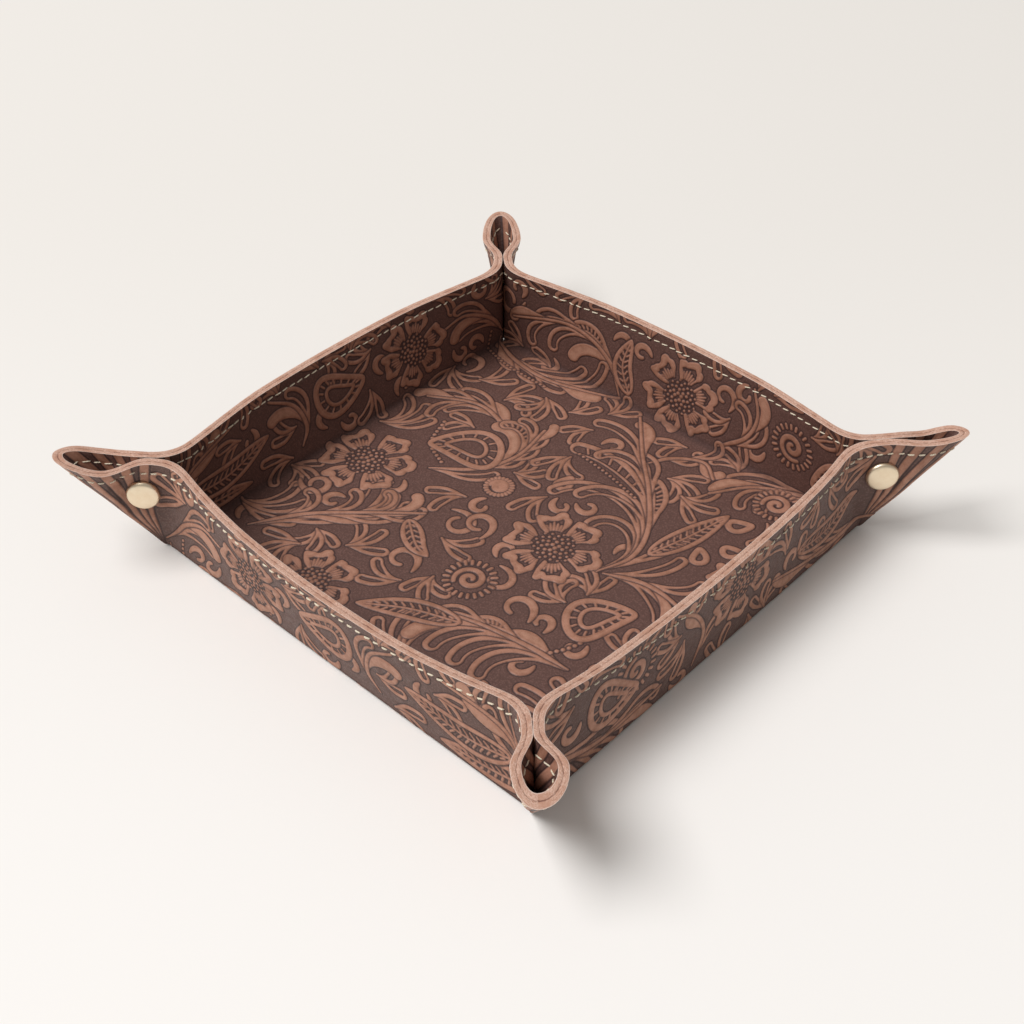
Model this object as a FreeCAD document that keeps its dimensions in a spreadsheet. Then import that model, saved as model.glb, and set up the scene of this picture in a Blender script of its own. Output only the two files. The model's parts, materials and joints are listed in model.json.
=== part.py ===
import FreeCAD, Part
import math
import os
import Sketcher

from FreeCAD import Placement, Rotation, Vector

# Leather valet tray: a square of two glued and sewn layers, folded up along four lines.
# Each corner is pinched into a teardrop ear by a snap fastener.
# +Z is up, the origin is the middle of the underside, and the front wall faces -Y.

# Driving sizes in millimetres: alias, value, meaning
SIZES = (
    ("base_side", 190.0, "flat bottom, from fold line to fold line"),
    ("wall_rise", 39.5, "top edge of a wall above the table, half-way along"),
    ("inner_layer", 1.7, "thickness of the inner leather"),
    ("outer_layer", 1.7, "thickness of the outer leather"),
    ("glue_line", 0.05, "bond between the two layers"),
    ("fold_gap", 0.2, "clearance at the fold between bottom and wall"),
    ("ear_gap", 0.4, "clearance at the fold between wall and ear"),
    ("front_lean", 5.5, "outward lean of the front wall's top, half-way along"),
    ("right_lean", 1.5, "outward lean of the right wall's top"),
    ("back_lean", 10.0, "outward lean of the back wall's top"),
    ("left_lean", 11.0, "outward lean of the left wall's top"),
    ("pinch_inset", 4.6, "pinched corner inside the base corner, on each axis"),
    ("pinch_rise", 42.0, "top edge above the table at the pinch"),
    ("pinch_gap", 0.3, "between the two halves of an ear where they meet"),
    ("ear_reach", 34.2, "tip of an ear beyond the base corner, along the diagonal"),
    ("ear_rise", 45.3, "tip of an ear above the table"),
    ("loop_half_gap", 5.2, "half the open width of an ear's loop at the rim"),
    ("loop_foot_length", 2.0, "open length of the loop at its foot"),
    ("loop_foot_gap", 0.4, "half the open width of the loop at its foot"),
    ("toe_gap", 0.3, "lowest edge of an ear above the bottom's inside"),
    ("toe_length", 0.8, "open length of the fold at the toe"),
    ("toe_half_gap", 0.1, "half the open width of the fold at the toe"),
    ("seam_inset", 4.3, "seam below the rim"),
    ("seam_end_inset", 3.0, "end of a run of thread short of the fold"),
    ("seam_nose_gap", 0.9, "end of a run of thread short of an ear's nose"),
    ("thread_width", 0.8, "thread as it lies on the leather"),
    ("thread_height", 0.4, "thread proud of the leather"),
    ("thread_gap", 0.2, "thread clear of the leather's face"),
    ("snap_drop", 13.5, "snap's axis below the rim at the pinch"),
    ("snap_reach", 3.6, "snap's axis beyond the base corner, along the diagonal"),
    ("cap_diameter", 12.5, "line 20 snap cap"),
    ("cap_rim", 0.9, "straight edge of the cap"),
    ("cap_dome", 1.5, "rise of the cap's dome"),
    ("cap_clearance", 0.4, "flat leather left between the cap and the loop"),
    ("post_diameter", 3.4, "rivet of the cap and of the eyelet"),
    ("post_clearance", 0.1, "round a rivet in its hole"),
    ("flare_lip", 0.4, "spread of the cap's rivet behind the socket"),
    ("flare_height", 0.2, "thickness of that spread end"),
    ("seat_gap", 0.05, "between a snap piece and what it seats on"),
    ("socket_diameter", 9.6, "socket set in the inner layer"),
    ("socket_clearance", 0.15, "round the socket in the inner layer"),
    ("socket_back", 0.45, "back plate of the socket"),
    ("socket_lip", 0.3, "lip that holds the spring ring in"),
    ("socket_sink", 0.1, "face of the socket below the leather"),
    ("groove_depth", 0.75, "groove for the spring ring, beyond the bore"),
    ("spring_wire", 0.5, "wire of the spring ring"),
    ("spring_clearance", 0.2, "between the spring ring and the stud's head"),
    ("knob_diameter", 4.2, "head of the stud"),
    ("knob_neck", 3.7, "neck of the stud"),
    ("knob_clearance", 0.4, "round the stud's head in the socket"),
    ("knob_reach", 0.75, "stud's head beyond the meeting plane"),
    ("knob_crown", 0.25, "rise of the stud's rounded end"),
    ("stud_diameter", 9.2, "flange of the stud"),
    ("stud_flange", 0.7, "thickness of the stud's flange"),
    ("tip_step", 0.6, "eyelet's tip, thinner all round than its barrel"),
    ("eyelet_diameter", 9.5, "head of the eyelet behind the stud"),
    ("eyelet_rim", 0.3, "straight edge of the eyelet's head"),
    ("eyelet_dome", 0.6, "rise of the eyelet's head"),
    ("cut_overrun", 1.0, "tools run past what they cut"),
)
# Sizes that follow from the driving ones; heights of the snap count from the meeting plane
FOLLOWING = (
    ("leather", "=inner_layer + glue_line + outer_layer"),
    ("base_half", "=base_side / 2"),
    ("base_inner_low", "=outer_layer + glue_line"),
    ("base_inner_side", "=base_side - 2 * base_inner_low"),
    ("toe_rise", "=leather + toe_gap"),
    ("snap_rise", "=pinch_rise - snap_drop"),
    ("loop_start", "=snap_reach + cap_diameter / 2 + cap_clearance"),
    ("loop_foot_rise", "=(loop_start + loop_foot_length + leather) * ear_rise / ear_reach"),
    ("meet", "=pinch_gap / 2"),
    ("set_face", "=meet + socket_sink"),
    ("set_back", "=meet + inner_layer - seat_gap"),
    ("seat_face", "=meet + leather + seat_gap"),
    ("post_radius", "=post_diameter / 2"),
    ("post_hole", "=post_radius + post_clearance"),
    ("socket_radius", "=socket_diameter / 2"),
    ("socket_hole", "=socket_radius + socket_clearance"),
    ("lip_back", "=set_face + socket_lip"),
    ("groove_back", "=set_back - socket_back"),
    ("bore_radius", "=knob_diameter / 2 + knob_clearance"),
    ("groove_radius", "=bore_radius + groove_depth"),
    ("flare_radius", "=post_radius + flare_lip"),
    ("flare_back", "=groove_back - seat_gap"),
    ("flare_end", "=flare_back - flare_height"),
    ("cap_radius", "=cap_diameter / 2"),
    ("cap_edge", "=seat_face + cap_rim"),
    ("cap_top", "=cap_edge + cap_dome"),
    ("wire_radius", "=spring_wire / 2"),
    ("spring_radius", "=knob_diameter / 2 + spring_clearance + wire_radius"),
    ("spring_height", "=(lip_back + groove_back) / 2"),
    ("stud_radius", "=stud_diameter / 2"),
    ("stud_face", "=set_back - stud_flange"),
    ("neck_radius", "=knob_neck / 2"),
    ("head_radius", "=knob_diameter / 2"),
    ("head_start", "=-meet"),
    ("head_end", "=knob_crown - knob_reach"),
    ("head_top", "=-knob_reach"),
    ("tip_radius", "=post_radius - tip_step"),
    ("hollow_radius", "=tip_radius + post_clearance"),
    ("tip_end", "=set_face + seat_gap"),
    ("barrel_end", "=set_back + seat_gap"),
    ("eyelet_radius", "=eyelet_diameter / 2"),
    ("eyelet_edge", "=seat_face + eyelet_rim"),
    ("eyelet_top", "=eyelet_edge + eyelet_dome"),
)
# Shares chosen by hand
LOOP_WIDEST_SHARE = 0.46
LOOP_SLANT_SHARE = 1.5
LOOP_CREASE_SHARE = 0.5
TOE_THICKNESS_SHARE = 0.25
SPRING_TURN_SHARE = 0.9

QUARTER_TURN = 90.0
MITRE_ANGLE = QUARTER_TURN / 2
FULL_TURN = 4 * QUARTER_TURN
ROOT_TWO = math.sqrt(2.0)
EAR_MITRE_SHARE = ROOT_TWO - 1.0

UP = Vector(0, 0, 1)
SIDEWAYS = Vector(1, 0, 0)
# At a wall's right-hand end: out along the corner's diagonal, and across it to the wall's side
ALONG = Vector(1, 1, 0) / ROOT_TWO
ACROSS = Vector(-1, 1, 0) / ROOT_TWO

# Each wall is drawn facing +Y and turned about Z: name, turn, ears at its +X and -X ends
WALLS = (
    ("back", 0.0, "right", "left"),
    ("left", QUARTER_TURN, "back", "front"),
    ("front", 2 * QUARTER_TURN, "left", "right"),
    ("right", 3 * QUARTER_TURN, "front", "back"),
)
# Each corner's ear half with cap, spring and socket, and the one with stud and eyelet
CORNERS = {
    "front_left": ("front_ear_left", "left_ear_front"),
    "front_right": ("right_ear_front", "front_ear_right"),
    "back_right": ("right_ear_back", "back_ear_right"),
    "back_left": ("left_ear_back", "back_ear_left"),
}

doc = FreeCAD.newDocument("valet_tray")
sheet = doc.addObject("Spreadsheet::Sheet", "sizes")
for row, entry in enumerate(SIZES + FOLLOWING, start=1):
    sheet.set("A%d" % row, entry[-1] if len(entry) > 2 else entry[0])
    sheet.set("B%d" % row, str(entry[1]))
    sheet.setAlias("B%d" % row, entry[0])
doc.recompute()

pieces = []


def size(alias):
    return float(sheet.get(alias))


half = size("base_half")
leather = size("leather")
meet = size("meet")
pinch_back = -size("pinch_inset") * ROOT_TWO
rim_slope = (size("ear_rise") - size("pinch_rise")) / (size("ear_reach") - pinch_back)
nose_slope = size("ear_reach") / size("ear_rise")

# Each layer between two depths, counted from the inner face of the folded leather
LAYERS = (
    ("inner", (0, size("inner_layer")), size("socket_hole")),
    ("outer", (size("inner_layer") + size("glue_line"), leather), size("post_hole")),
)


def keep(piece, label):
    piece.Label = label
    pieces.append(piece)


def add_shape(label, shape, turn):
    piece = doc.addObject("Part::Feature", label)
    piece.Shape = shape
    piece.Placement = Placement(Vector(), Rotation(UP, turn))
    keep(piece, label)


def origin_part(body, role):
    return [item for item in body.Origin.OriginFeatures if item.Role == role][0]


def new_sketch(body, name, role):
    sketch = body.newObject("Sketcher::SketchObject", name)
    sketch.AttachmentSupport = (origin_part(body, role), [""])
    sketch.MapMode = "FlatFace"
    return sketch


# Bottom: two square plates with edges mitred for the folds


def base_plate(label, side_alias, layer_alias, low_alias=None):
    body = doc.addObject("PartDesign::Body", label)
    sketch = new_sketch(body, label + "_square", "XY_Plane")
    reach = size(side_alias) / 2
    spots = [Vector(x * reach, y * reach, 0) for x, y in ((-1, -1), (1, -1), (1, 1), (-1, 1))]
    for here, there in zip(spots, spots[1:] + spots[:1]):
        sketch.addGeometry(Part.LineSegment(here, there))
    for edge in range(len(spots)):
        after = (edge + 1) % len(spots)
        sketch.addConstraint(Sketcher.Constraint("Coincident", edge, 2, after, 1))
        direction = "Vertical" if edge % 2 else "Horizontal"
        sketch.addConstraint(Sketcher.Constraint(direction, edge))
    sketch.addConstraint(Sketcher.Constraint("Symmetric", 0, 1, 1, 2, -1, 1))
    for kind, edge in (("DistanceX", 0), ("DistanceY", 1)):
        number = sketch.addConstraint(Sketcher.Constraint(kind, edge, 1, edge, 2, 2 * reach))
        sketch.setExpression("Constraints[%d]" % number, "sizes." + side_alias)
    if low_alias:
        sketch.setExpression(".AttachmentOffset.Base.z", "sizes." + low_alias)
    pad = body.newObject("PartDesign::Pad", label + "_plate")
    pad.Profile = sketch
    pad.setExpression("Length", "sizes." + layer_alias)
    pad.TaperAngle = -MITRE_ANGLE
    keep(body, label)


# Walls: straight fold line below, bowed rim above


def corner_point(along, across, height):
    return Vector(half, half, height) + ALONG * along + ACROSS * across


def wall_end(depth):
    # fold between wall and ear, at a depth in the leather: lowest and highest point
    inside = leather - depth
    across = meet + depth
    low = corner_point(-ROOT_TWO * inside - across, across, inside + size("fold_gap"))
    high = corner_point(pinch_back + EAR_MITRE_SHARE * depth, across, size("pinch_rise"))
    return low, high


def wall_edge(lean, depth, share, end_inset):
    inside = leather - depth
    low_end, high_end = wall_end(depth)
    low_middle = Vector(0, half - inside, low_end.z)
    high_middle = Vector(0, half + lean - inside, size("wall_rise"))
    end = low_end + (high_end - low_end) * share
    middle = low_middle + (high_middle - low_middle) * share
    start = Vector(-end.x, end.y, end.z)
    if share == 0:
        return Part.LineSegment(start, end).toShape()
    arc = Part.Arc(start, middle, end).toShape()
    trim = end_inset / arc.Curve.Radius
    return arc.Curve.toShape(arc.FirstParameter + trim, arc.LastParameter - trim)


def edge_end(edge, last):
    return edge.valueAt(edge.LastParameter if last else edge.FirstParameter)


def wall_shape(lean, depths, shares, end_inset=0):
    low_in, low_out = [wall_edge(lean, depth, shares[0], end_inset) for depth in depths]
    high_in, high_out = [wall_edge(lean, depth, shares[1], end_inset) for depth in depths]
    pairs = [(low_in, high_in), (low_out, high_out), (low_in, low_out), (high_in, high_out)]
    for last in (False, True):
        inner = Part.LineSegment(edge_end(low_in, last), edge_end(high_in, last)).toShape()
        outer = Part.LineSegment(edge_end(low_out, last), edge_end(high_out, last)).toShape()
        pairs.append((inner, outer))
    shell = Part.makeShell([Part.makeRuledSurface(one, two) for one, two in pairs])
    shell.sewShape()
    solid = Part.makeSolid(shell)
    if solid.Volume < 0:
        solid.reverse()
    return solid


def wall_thread(lean):
    half_share = size("thread_width") / size("wall_rise") / 2
    seam_share = 1 - size("seam_inset") / size("wall_rise")
    shares = (seam_share - half_share, seam_share + half_share)
    clear = size("thread_gap")
    proud = clear + size("thread_height")
    runs = ((leather + clear, leather + proud), (-proud, -clear))
    inset = size("seam_end_inset")
    return Part.makeCompound([wall_shape(lean, depths, shares, inset) for depths in runs])


# Ears: two mirrored halves, flat where they are pinched and swelling into a loop


def ear_levels():
    toe, foot, rim = size("toe_rise"), size("loop_foot_rise"), size("pinch_rise")
    toe_nose = toe * nose_slope - leather * TOE_THICKNESS_SHARE
    return (
        {"fold": toe, "height": toe, "slope": 0, "nose": toe_nose, "thick": TOE_THICKNESS_SHARE,
         "start": toe_nose - size("toe_length"), "gap": size("toe_half_gap")},
        {"fold": foot, "height": foot, "slope": 0, "nose": foot * nose_slope - leather, "thick": 1,
         "start": size("loop_start"), "gap": size("loop_foot_gap")},
        {"fold": rim, "height": rim - rim_slope * pinch_back, "slope": rim_slope,
         "nose": size("ear_reach") - leather, "thick": 1,
         "start": size("loop_start"), "gap": size("loop_half_gap")},
    )


def ear_spot(level, along, across):
    return corner_point(along, across, level["height"] + level["slope"] * along)


def fold_spot(level, depth, end_inset):
    low, high = wall_end(depth)
    spot = low + (high - low) * ((level["fold"] - low.z) / (high.z - low.z))
    away = spot - Vector(half, half, 0)
    along = away.dot(ALONG) + size("ear_gap") + end_inset
    return ear_spot(level, along, away.dot(ACROSS))


def loop_spots(level, depth, nose_gap):
    # half a teardrop: off the meeting plane, past its widest place and round to the nose
    start, nose, gap = level["start"], level["nose"], level["gap"]
    skin = depth * level["thick"]
    widest = start + (nose - start) * LOOP_WIDEST_SHARE
    rounding = nose - widest
    middle = (start + widest) / 2
    slant = math.atan(LOOP_SLANT_SHARE * gap / (widest - start))
    crease = min(math.sin(slant), LOOP_CREASE_SHARE * (middle - start) / leather)
    eighth = math.pi / 4
    turn = math.atan2(gap, rounding)
    plan = (
        (start, 0, 0),
        (middle, gap / 2, -math.asin(crease)),
        (widest, gap, 0),
        (widest + rounding * math.sin(eighth), gap * math.cos(eighth), turn),
        (nose, nose_gap, 2 * eighth),
    )
    spots = []
    for along, across, facing in plan:
        out = along + skin * math.sin(facing)
        aside = meet + across + skin * math.cos(facing)
        spots.append(ear_spot(level, out, aside))
    return spots


def loop_edge(level, spots):
    curve = Part.BSplineCurve()
    leave = ALONG + UP * level["slope"]
    curve.interpolate(Points=spots, InitialTangent=leave, FinalTangent=-ACROSS)
    return curve.toShape()


def ear_wire(level, depths, end_inset=0, nose_gap=0):
    inner_fold, outer_fold = [fold_spot(level, depth, end_inset) for depth in depths]
    inner, outer = [loop_spots(level, depth, nose_gap) for depth in depths]
    edges = [
        Part.LineSegment(inner_fold, inner[0]).toShape(),
        loop_edge(level, inner),
        Part.LineSegment(inner[-1], outer[-1]).toShape(),
        loop_edge(level, outer),
        Part.LineSegment(outer[0], outer_fold).toShape(),
        Part.LineSegment(outer_fold, inner_fold).toShape(),
    ]
    return Part.Wire(edges)


def ear_shape(depths, hole_radius):
    solid = Part.makeLoft([ear_wire(level, depths) for level in ear_levels()], True, True)
    overrun = size("cut_overrun")
    start = corner_point(size("snap_reach"), -overrun, size("snap_rise"))
    reach = meet + leather + 2 * overrun
    return solid.cut(Part.makeCylinder(hole_radius, reach, start, ACROSS))


def ear_thread():
    # a skin proud of the ear, of which only the band along the seam is kept
    clear = leather + size("thread_gap")
    depths = (clear, clear + size("thread_height"))
    insets = (size("seam_end_inset"), size("seam_nose_gap"))
    wires = [ear_wire(level, depths, *insets) for level in ear_levels()]
    overrun = size("cut_overrun")
    width = size("thread_width")
    low = size("pinch_rise") - size("seam_inset") - width / 2
    near, far = pinch_back - overrun, size("ear_reach") + overrun
    corners = []
    for along, lift in ((near, 0), (far, 0), (far, width), (near, width)):
        corners.append(corner_point(along, 0, low + lift + rim_slope * (along - pinch_back)))
    band = Part.Face(Part.makePolygon(corners + corners[:1]))
    reach = meet + size("loop_half_gap") + depths[1] + overrun
    return Part.makeLoft(wires, True, True).common(band.extrude(ACROSS * reach))


# Snap fasteners: turned pieces about the axis through a pinched ear

# Outlines as radius and height; no radius is a point on the axis, and "dome" rounds the way to it
CAP = (
    (None, "flare_end"),
    ("flare_radius", "flare_end"),
    ("flare_radius", "flare_back"),
    ("post_radius", "flare_back"),
    ("post_radius", "seat_face"),
    ("cap_radius", "seat_face"),
    ("cap_radius", "cap_edge"),
    (None, "cap_top", "dome"),
)
SOCKET = (
    ("bore_radius", "set_face"),
    ("socket_radius", "set_face"),
    ("socket_radius", "set_back"),
    ("post_hole", "set_back"),
    ("post_hole", "groove_back"),
    ("groove_radius", "groove_back"),
    ("groove_radius", "lip_back"),
    ("bore_radius", "lip_back"),
)
STUD = (
    (None, "head_top"),
    ("head_radius", "head_end", "dome"),
    ("head_radius", "head_start"),
    ("neck_radius", "meet"),
    ("neck_radius", "stud_face"),
    ("stud_radius", "stud_face"),
    ("stud_radius", "set_back"),
    ("hollow_radius", "set_back"),
    ("hollow_radius", "set_face"),
    (None, "set_face"),
)
EYELET = (
    (None, "tip_end"),
    ("tip_radius", "tip_end"),
    ("tip_radius", "barrel_end"),
    ("post_radius", "barrel_end"),
    ("post_radius", "seat_face"),
    ("eyelet_radius", "seat_face"),
    ("eyelet_radius", "eyelet_edge"),
    (None, "eyelet_top", "dome"),
)


def dome_arc(here, there):
    rim, crown = (here, there) if there.x == 0 else (there, here)
    rise = crown.y - rim.y
    radius = (rim.x ** 2 + rise ** 2) / (2 * rise)
    centre = Vector(0, crown.y - radius, 0)
    circle = Part.Circle(centre, UP, abs(radius))
    angles = sorted(math.atan2(spot.y - centre.y, spot.x) for spot in (rim, crown))
    return Part.ArcOfCircle(circle, angles[0], angles[1])


def end_at(sketch, index, spot):
    edge = sketch.Geometry[index]
    near = edge.StartPoint.distanceToPoint(spot) < edge.EndPoint.distanceToPoint(spot)
    return 1 if near else 2


def turned(label, outline, place):
    body = doc.addObject("PartDesign::Body", label)
    sketch = new_sketch(body, label + "_outline", "XZ_Plane")
    spots = [Vector(size(spot[0]) if spot[0] else 0, size(spot[1]), 0) for spot in outline]
    count = len(outline)
    for index in range(count):
        here, there = spots[index], spots[(index + 1) % count]
        domed = "dome" in outline[(index + 1) % count]
        sketch.addGeometry(dome_arc(here, there) if domed else Part.LineSegment(here, there))
    for index in range(count):
        after = (index + 1) % count
        tail = end_at(sketch, index, spots[after])
        head = end_at(sketch, after, spots[after])
        sketch.addConstraint(Sketcher.Constraint("Coincident", index, tail, after, head))
        if "dome" in outline[after]:
            sketch.addConstraint(Sketcher.Constraint("PointOnObject", index, 3, -2))
    for index, spot in enumerate(outline):
        end = end_at(sketch, index, spots[index])
        if spot[0]:
            bind(sketch, "DistanceX", index, end, spots[index].x, spot[0])
        else:
            sketch.addConstraint(Sketcher.Constraint("PointOnObject", index, end, -2))
        bind(sketch, "DistanceY", index, end, spots[index].y, spot[1])
    spin = body.newObject("PartDesign::Revolution", label + "_turned")
    spin.Profile = sketch
    spin.ReferenceAxis = (origin_part(body, "Z_Axis"), [""])
    spin.Angle = FULL_TURN
    body.Placement = place
    keep(body, label)


def bind(sketch, kind, index, end, value, alias):
    number = sketch.addConstraint(Sketcher.Constraint(kind, -1, 1, index, end, value))
    sketch.setExpression("Constraints[%d]" % number, "sizes." + alias)


def spring_ring(label, place):
    ring = doc.addObject("Part::Torus", label)
    ring.setExpression("Radius1", "sizes.spring_radius")
    ring.setExpression("Radius2", "sizes.wire_radius")
    ring.Angle3 = FULL_TURN * SPRING_TURN_SHARE
    ring.Placement = place.multiply(Placement(UP * size("spring_height"), Rotation()))
    keep(ring, label)


def snap_place(turn, mirrored):
    # the snap's axis points out of the ear half it is set in
    centre = corner_point(size("snap_reach"), 0, size("snap_rise"))
    axis = ACROSS
    if mirrored:
        centre = Vector(-centre.x, centre.y, centre.z)
        axis = Vector(-axis.x, axis.y, axis.z)
    spin = Placement(Vector(), Rotation(UP, turn))
    return spin.multiply(Placement(centre, Rotation(UP, axis)))


base_plate("base_outer", "base_side", "outer_layer")
base_plate("base_inner", "base_inner_side", "inner_layer", "base_inner_low")

places = {}
for wall, turn, right_end, left_end in WALLS:
    lean = size(wall + "_lean")
    for layer, depths, hole_radius in LAYERS:
        add_shape("%s_wall_%s" % (wall, layer), wall_shape(lean, depths, (0, 1)), turn)
    add_shape(wall + "_wall_thread", wall_thread(lean), turn)
    for end, mirrored in ((right_end, False), (left_end, True)):
        ear = "%s_ear_%s" % (wall, end)
        places[ear] = snap_place(turn, mirrored)
        shapes = [(layer, ear_shape(depths, radius)) for layer, depths, radius in LAYERS]
        shapes.append(("thread", ear_thread()))
        for layer, shape in shapes:
            if mirrored:
                shape = shape.mirror(Vector(), SIDEWAYS)
            add_shape("%s_%s" % (ear, layer), shape, turn)

for corner, (cap_ear, stud_ear) in CORNERS.items():
    turned(corner + "_cap", CAP, places[cap_ear])
    turned(corner + "_socket", SOCKET, places[cap_ear])
    spring_ring(corner + "_spring", places[cap_ear])
    turned(corner + "_stud", STUD, places[stud_ear])
    turned(corner + "_eyelet", EYELET, places[stud_ear])

doc.recompute()

os.makedirs("parts", exist_ok=True)
for piece in pieces:
    broken = [state for state in piece.State if state in ("Invalid", "Error")]
    if broken or piece.Shape.isNull() or not piece.Shape.isValid():
        raise ValueError("piece not sound: " + piece.Label)
    piece.Shape.exportStep("parts/%s.step" % piece.Label)
    print(piece.Label, round(piece.Shape.Volume, 2))
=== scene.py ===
import json
import math
import bpy
import numpy as np
from mathutils import Vector
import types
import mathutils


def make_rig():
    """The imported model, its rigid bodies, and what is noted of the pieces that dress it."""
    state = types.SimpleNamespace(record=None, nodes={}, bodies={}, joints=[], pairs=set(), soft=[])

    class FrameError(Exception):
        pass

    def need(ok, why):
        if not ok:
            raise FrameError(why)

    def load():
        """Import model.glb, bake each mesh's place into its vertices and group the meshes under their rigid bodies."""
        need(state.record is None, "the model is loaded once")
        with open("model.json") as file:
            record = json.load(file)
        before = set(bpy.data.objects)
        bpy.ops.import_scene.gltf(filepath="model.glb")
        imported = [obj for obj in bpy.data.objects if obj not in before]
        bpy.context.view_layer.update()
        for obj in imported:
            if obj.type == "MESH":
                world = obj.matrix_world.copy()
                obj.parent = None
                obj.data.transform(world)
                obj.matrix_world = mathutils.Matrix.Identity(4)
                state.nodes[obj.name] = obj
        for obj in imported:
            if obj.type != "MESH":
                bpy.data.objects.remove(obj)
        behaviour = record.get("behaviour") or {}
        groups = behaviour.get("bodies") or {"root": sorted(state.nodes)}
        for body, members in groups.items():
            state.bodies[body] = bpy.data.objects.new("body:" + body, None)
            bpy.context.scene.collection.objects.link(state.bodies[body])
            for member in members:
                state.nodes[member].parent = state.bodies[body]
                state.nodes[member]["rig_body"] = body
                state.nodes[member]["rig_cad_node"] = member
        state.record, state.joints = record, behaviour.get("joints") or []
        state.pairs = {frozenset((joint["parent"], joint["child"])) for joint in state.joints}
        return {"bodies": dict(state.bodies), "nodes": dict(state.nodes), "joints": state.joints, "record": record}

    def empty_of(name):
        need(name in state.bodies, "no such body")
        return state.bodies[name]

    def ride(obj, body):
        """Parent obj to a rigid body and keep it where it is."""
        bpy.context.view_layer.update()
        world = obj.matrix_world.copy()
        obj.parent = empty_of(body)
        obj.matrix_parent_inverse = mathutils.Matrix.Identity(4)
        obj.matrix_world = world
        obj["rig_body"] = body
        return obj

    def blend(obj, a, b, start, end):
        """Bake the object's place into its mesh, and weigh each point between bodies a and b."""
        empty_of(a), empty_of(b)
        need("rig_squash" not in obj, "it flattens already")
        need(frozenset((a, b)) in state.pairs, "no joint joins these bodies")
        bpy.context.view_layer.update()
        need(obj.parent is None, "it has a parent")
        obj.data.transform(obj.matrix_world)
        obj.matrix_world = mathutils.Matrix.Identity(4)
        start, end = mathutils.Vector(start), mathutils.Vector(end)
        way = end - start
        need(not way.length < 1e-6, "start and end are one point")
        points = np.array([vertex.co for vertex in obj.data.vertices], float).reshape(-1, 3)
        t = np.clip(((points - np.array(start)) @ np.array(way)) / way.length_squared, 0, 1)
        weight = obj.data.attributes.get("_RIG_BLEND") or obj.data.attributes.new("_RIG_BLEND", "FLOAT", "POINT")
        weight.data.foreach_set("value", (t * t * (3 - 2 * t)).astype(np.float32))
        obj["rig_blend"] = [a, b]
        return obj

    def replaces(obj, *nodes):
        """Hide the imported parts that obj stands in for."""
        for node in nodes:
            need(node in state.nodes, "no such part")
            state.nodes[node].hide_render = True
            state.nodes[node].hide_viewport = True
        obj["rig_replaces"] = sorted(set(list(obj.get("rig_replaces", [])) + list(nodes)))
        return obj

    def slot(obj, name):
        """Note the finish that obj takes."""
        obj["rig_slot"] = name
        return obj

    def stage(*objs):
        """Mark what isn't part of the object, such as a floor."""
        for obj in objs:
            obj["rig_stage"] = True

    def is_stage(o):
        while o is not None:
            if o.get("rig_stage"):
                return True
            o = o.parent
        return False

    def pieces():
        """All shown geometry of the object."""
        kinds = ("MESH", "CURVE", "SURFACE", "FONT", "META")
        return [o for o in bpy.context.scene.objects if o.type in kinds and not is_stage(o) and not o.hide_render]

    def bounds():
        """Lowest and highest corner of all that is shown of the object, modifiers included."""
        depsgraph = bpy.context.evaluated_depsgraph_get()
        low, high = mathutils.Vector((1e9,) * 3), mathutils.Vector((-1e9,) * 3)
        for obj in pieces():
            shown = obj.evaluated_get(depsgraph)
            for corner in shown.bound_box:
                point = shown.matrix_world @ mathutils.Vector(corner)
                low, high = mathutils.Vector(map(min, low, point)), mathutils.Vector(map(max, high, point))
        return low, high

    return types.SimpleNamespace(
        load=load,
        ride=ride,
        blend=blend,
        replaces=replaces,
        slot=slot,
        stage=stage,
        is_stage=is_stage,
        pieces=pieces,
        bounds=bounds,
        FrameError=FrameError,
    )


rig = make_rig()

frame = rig.load()
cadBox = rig.bounds()
mm = 0.001
rootTwo = math.sqrt(2.0)
print("frame loaded:", len(frame["nodes"]), "nodes")

# the folded sheet, in millimetres: sizes of the solids, but for the lean of the back and left rims
tray = {
    "half": 95.0,
    "leather": 3.45,
    "wallRise": 39.5,
    "pinchBack": -4.6 * rootTwo,
    "pinchRise": 42.0,
    "earReach": 34.2,
    "earRise": 45.3,
    "loopStart": 10.25,
    "loopFoot": 20.8,
    "toeRise": 3.75,
    "snapReach": 3.6,
    "snapRise": 28.5,
    "seatWide": 4.8,  # round seat of the snap in the inner layer
    "seatDeep": 1.6,
    "foldFlat": 91.5,  # fold line on the flat sheet
    "wallFlat": 40.0,  # wall on the flat sheet
    "pinchRound": (0.7, 6.4),  # softness of the bend into the ear, at the fold and at the rim
    "pinchShift": 4.2,  # how far the bend starts inside the pinch at the rim
}
rimFlat = tray["foldFlat"] + tray["wallFlat"]

# loop of each ear half at the rim: where it opens, half its width, the share of the way to its fullest place,
# its sag, and how far its nose is bunched
loops = {
    "front_ear_right": (3.5, 4.2, 0.5, 0.3, 3.0),
    "right_ear_front": (3.5, 6.6, 0.5, 0.3, 3.0),
    "front_ear_left": (-0.5, 6.6, 0.56, 1.8, 0.4),
    "left_ear_front": (1.0, 3.6, 0.56, 2.0, 0.4),
    "right_ear_back": (3.0, 2.8, 0.6, 0.2, 0.6),
    "back_ear_right": (8.0, 2.4, 0.64, 1.8, 0.6),
    "back_ear_left": (0.0, 5.0, 0.46, 0.5, 0.2),
    "left_ear_back": (0.0, 5.0, 0.46, 0.5, 0.2),
}

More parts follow.
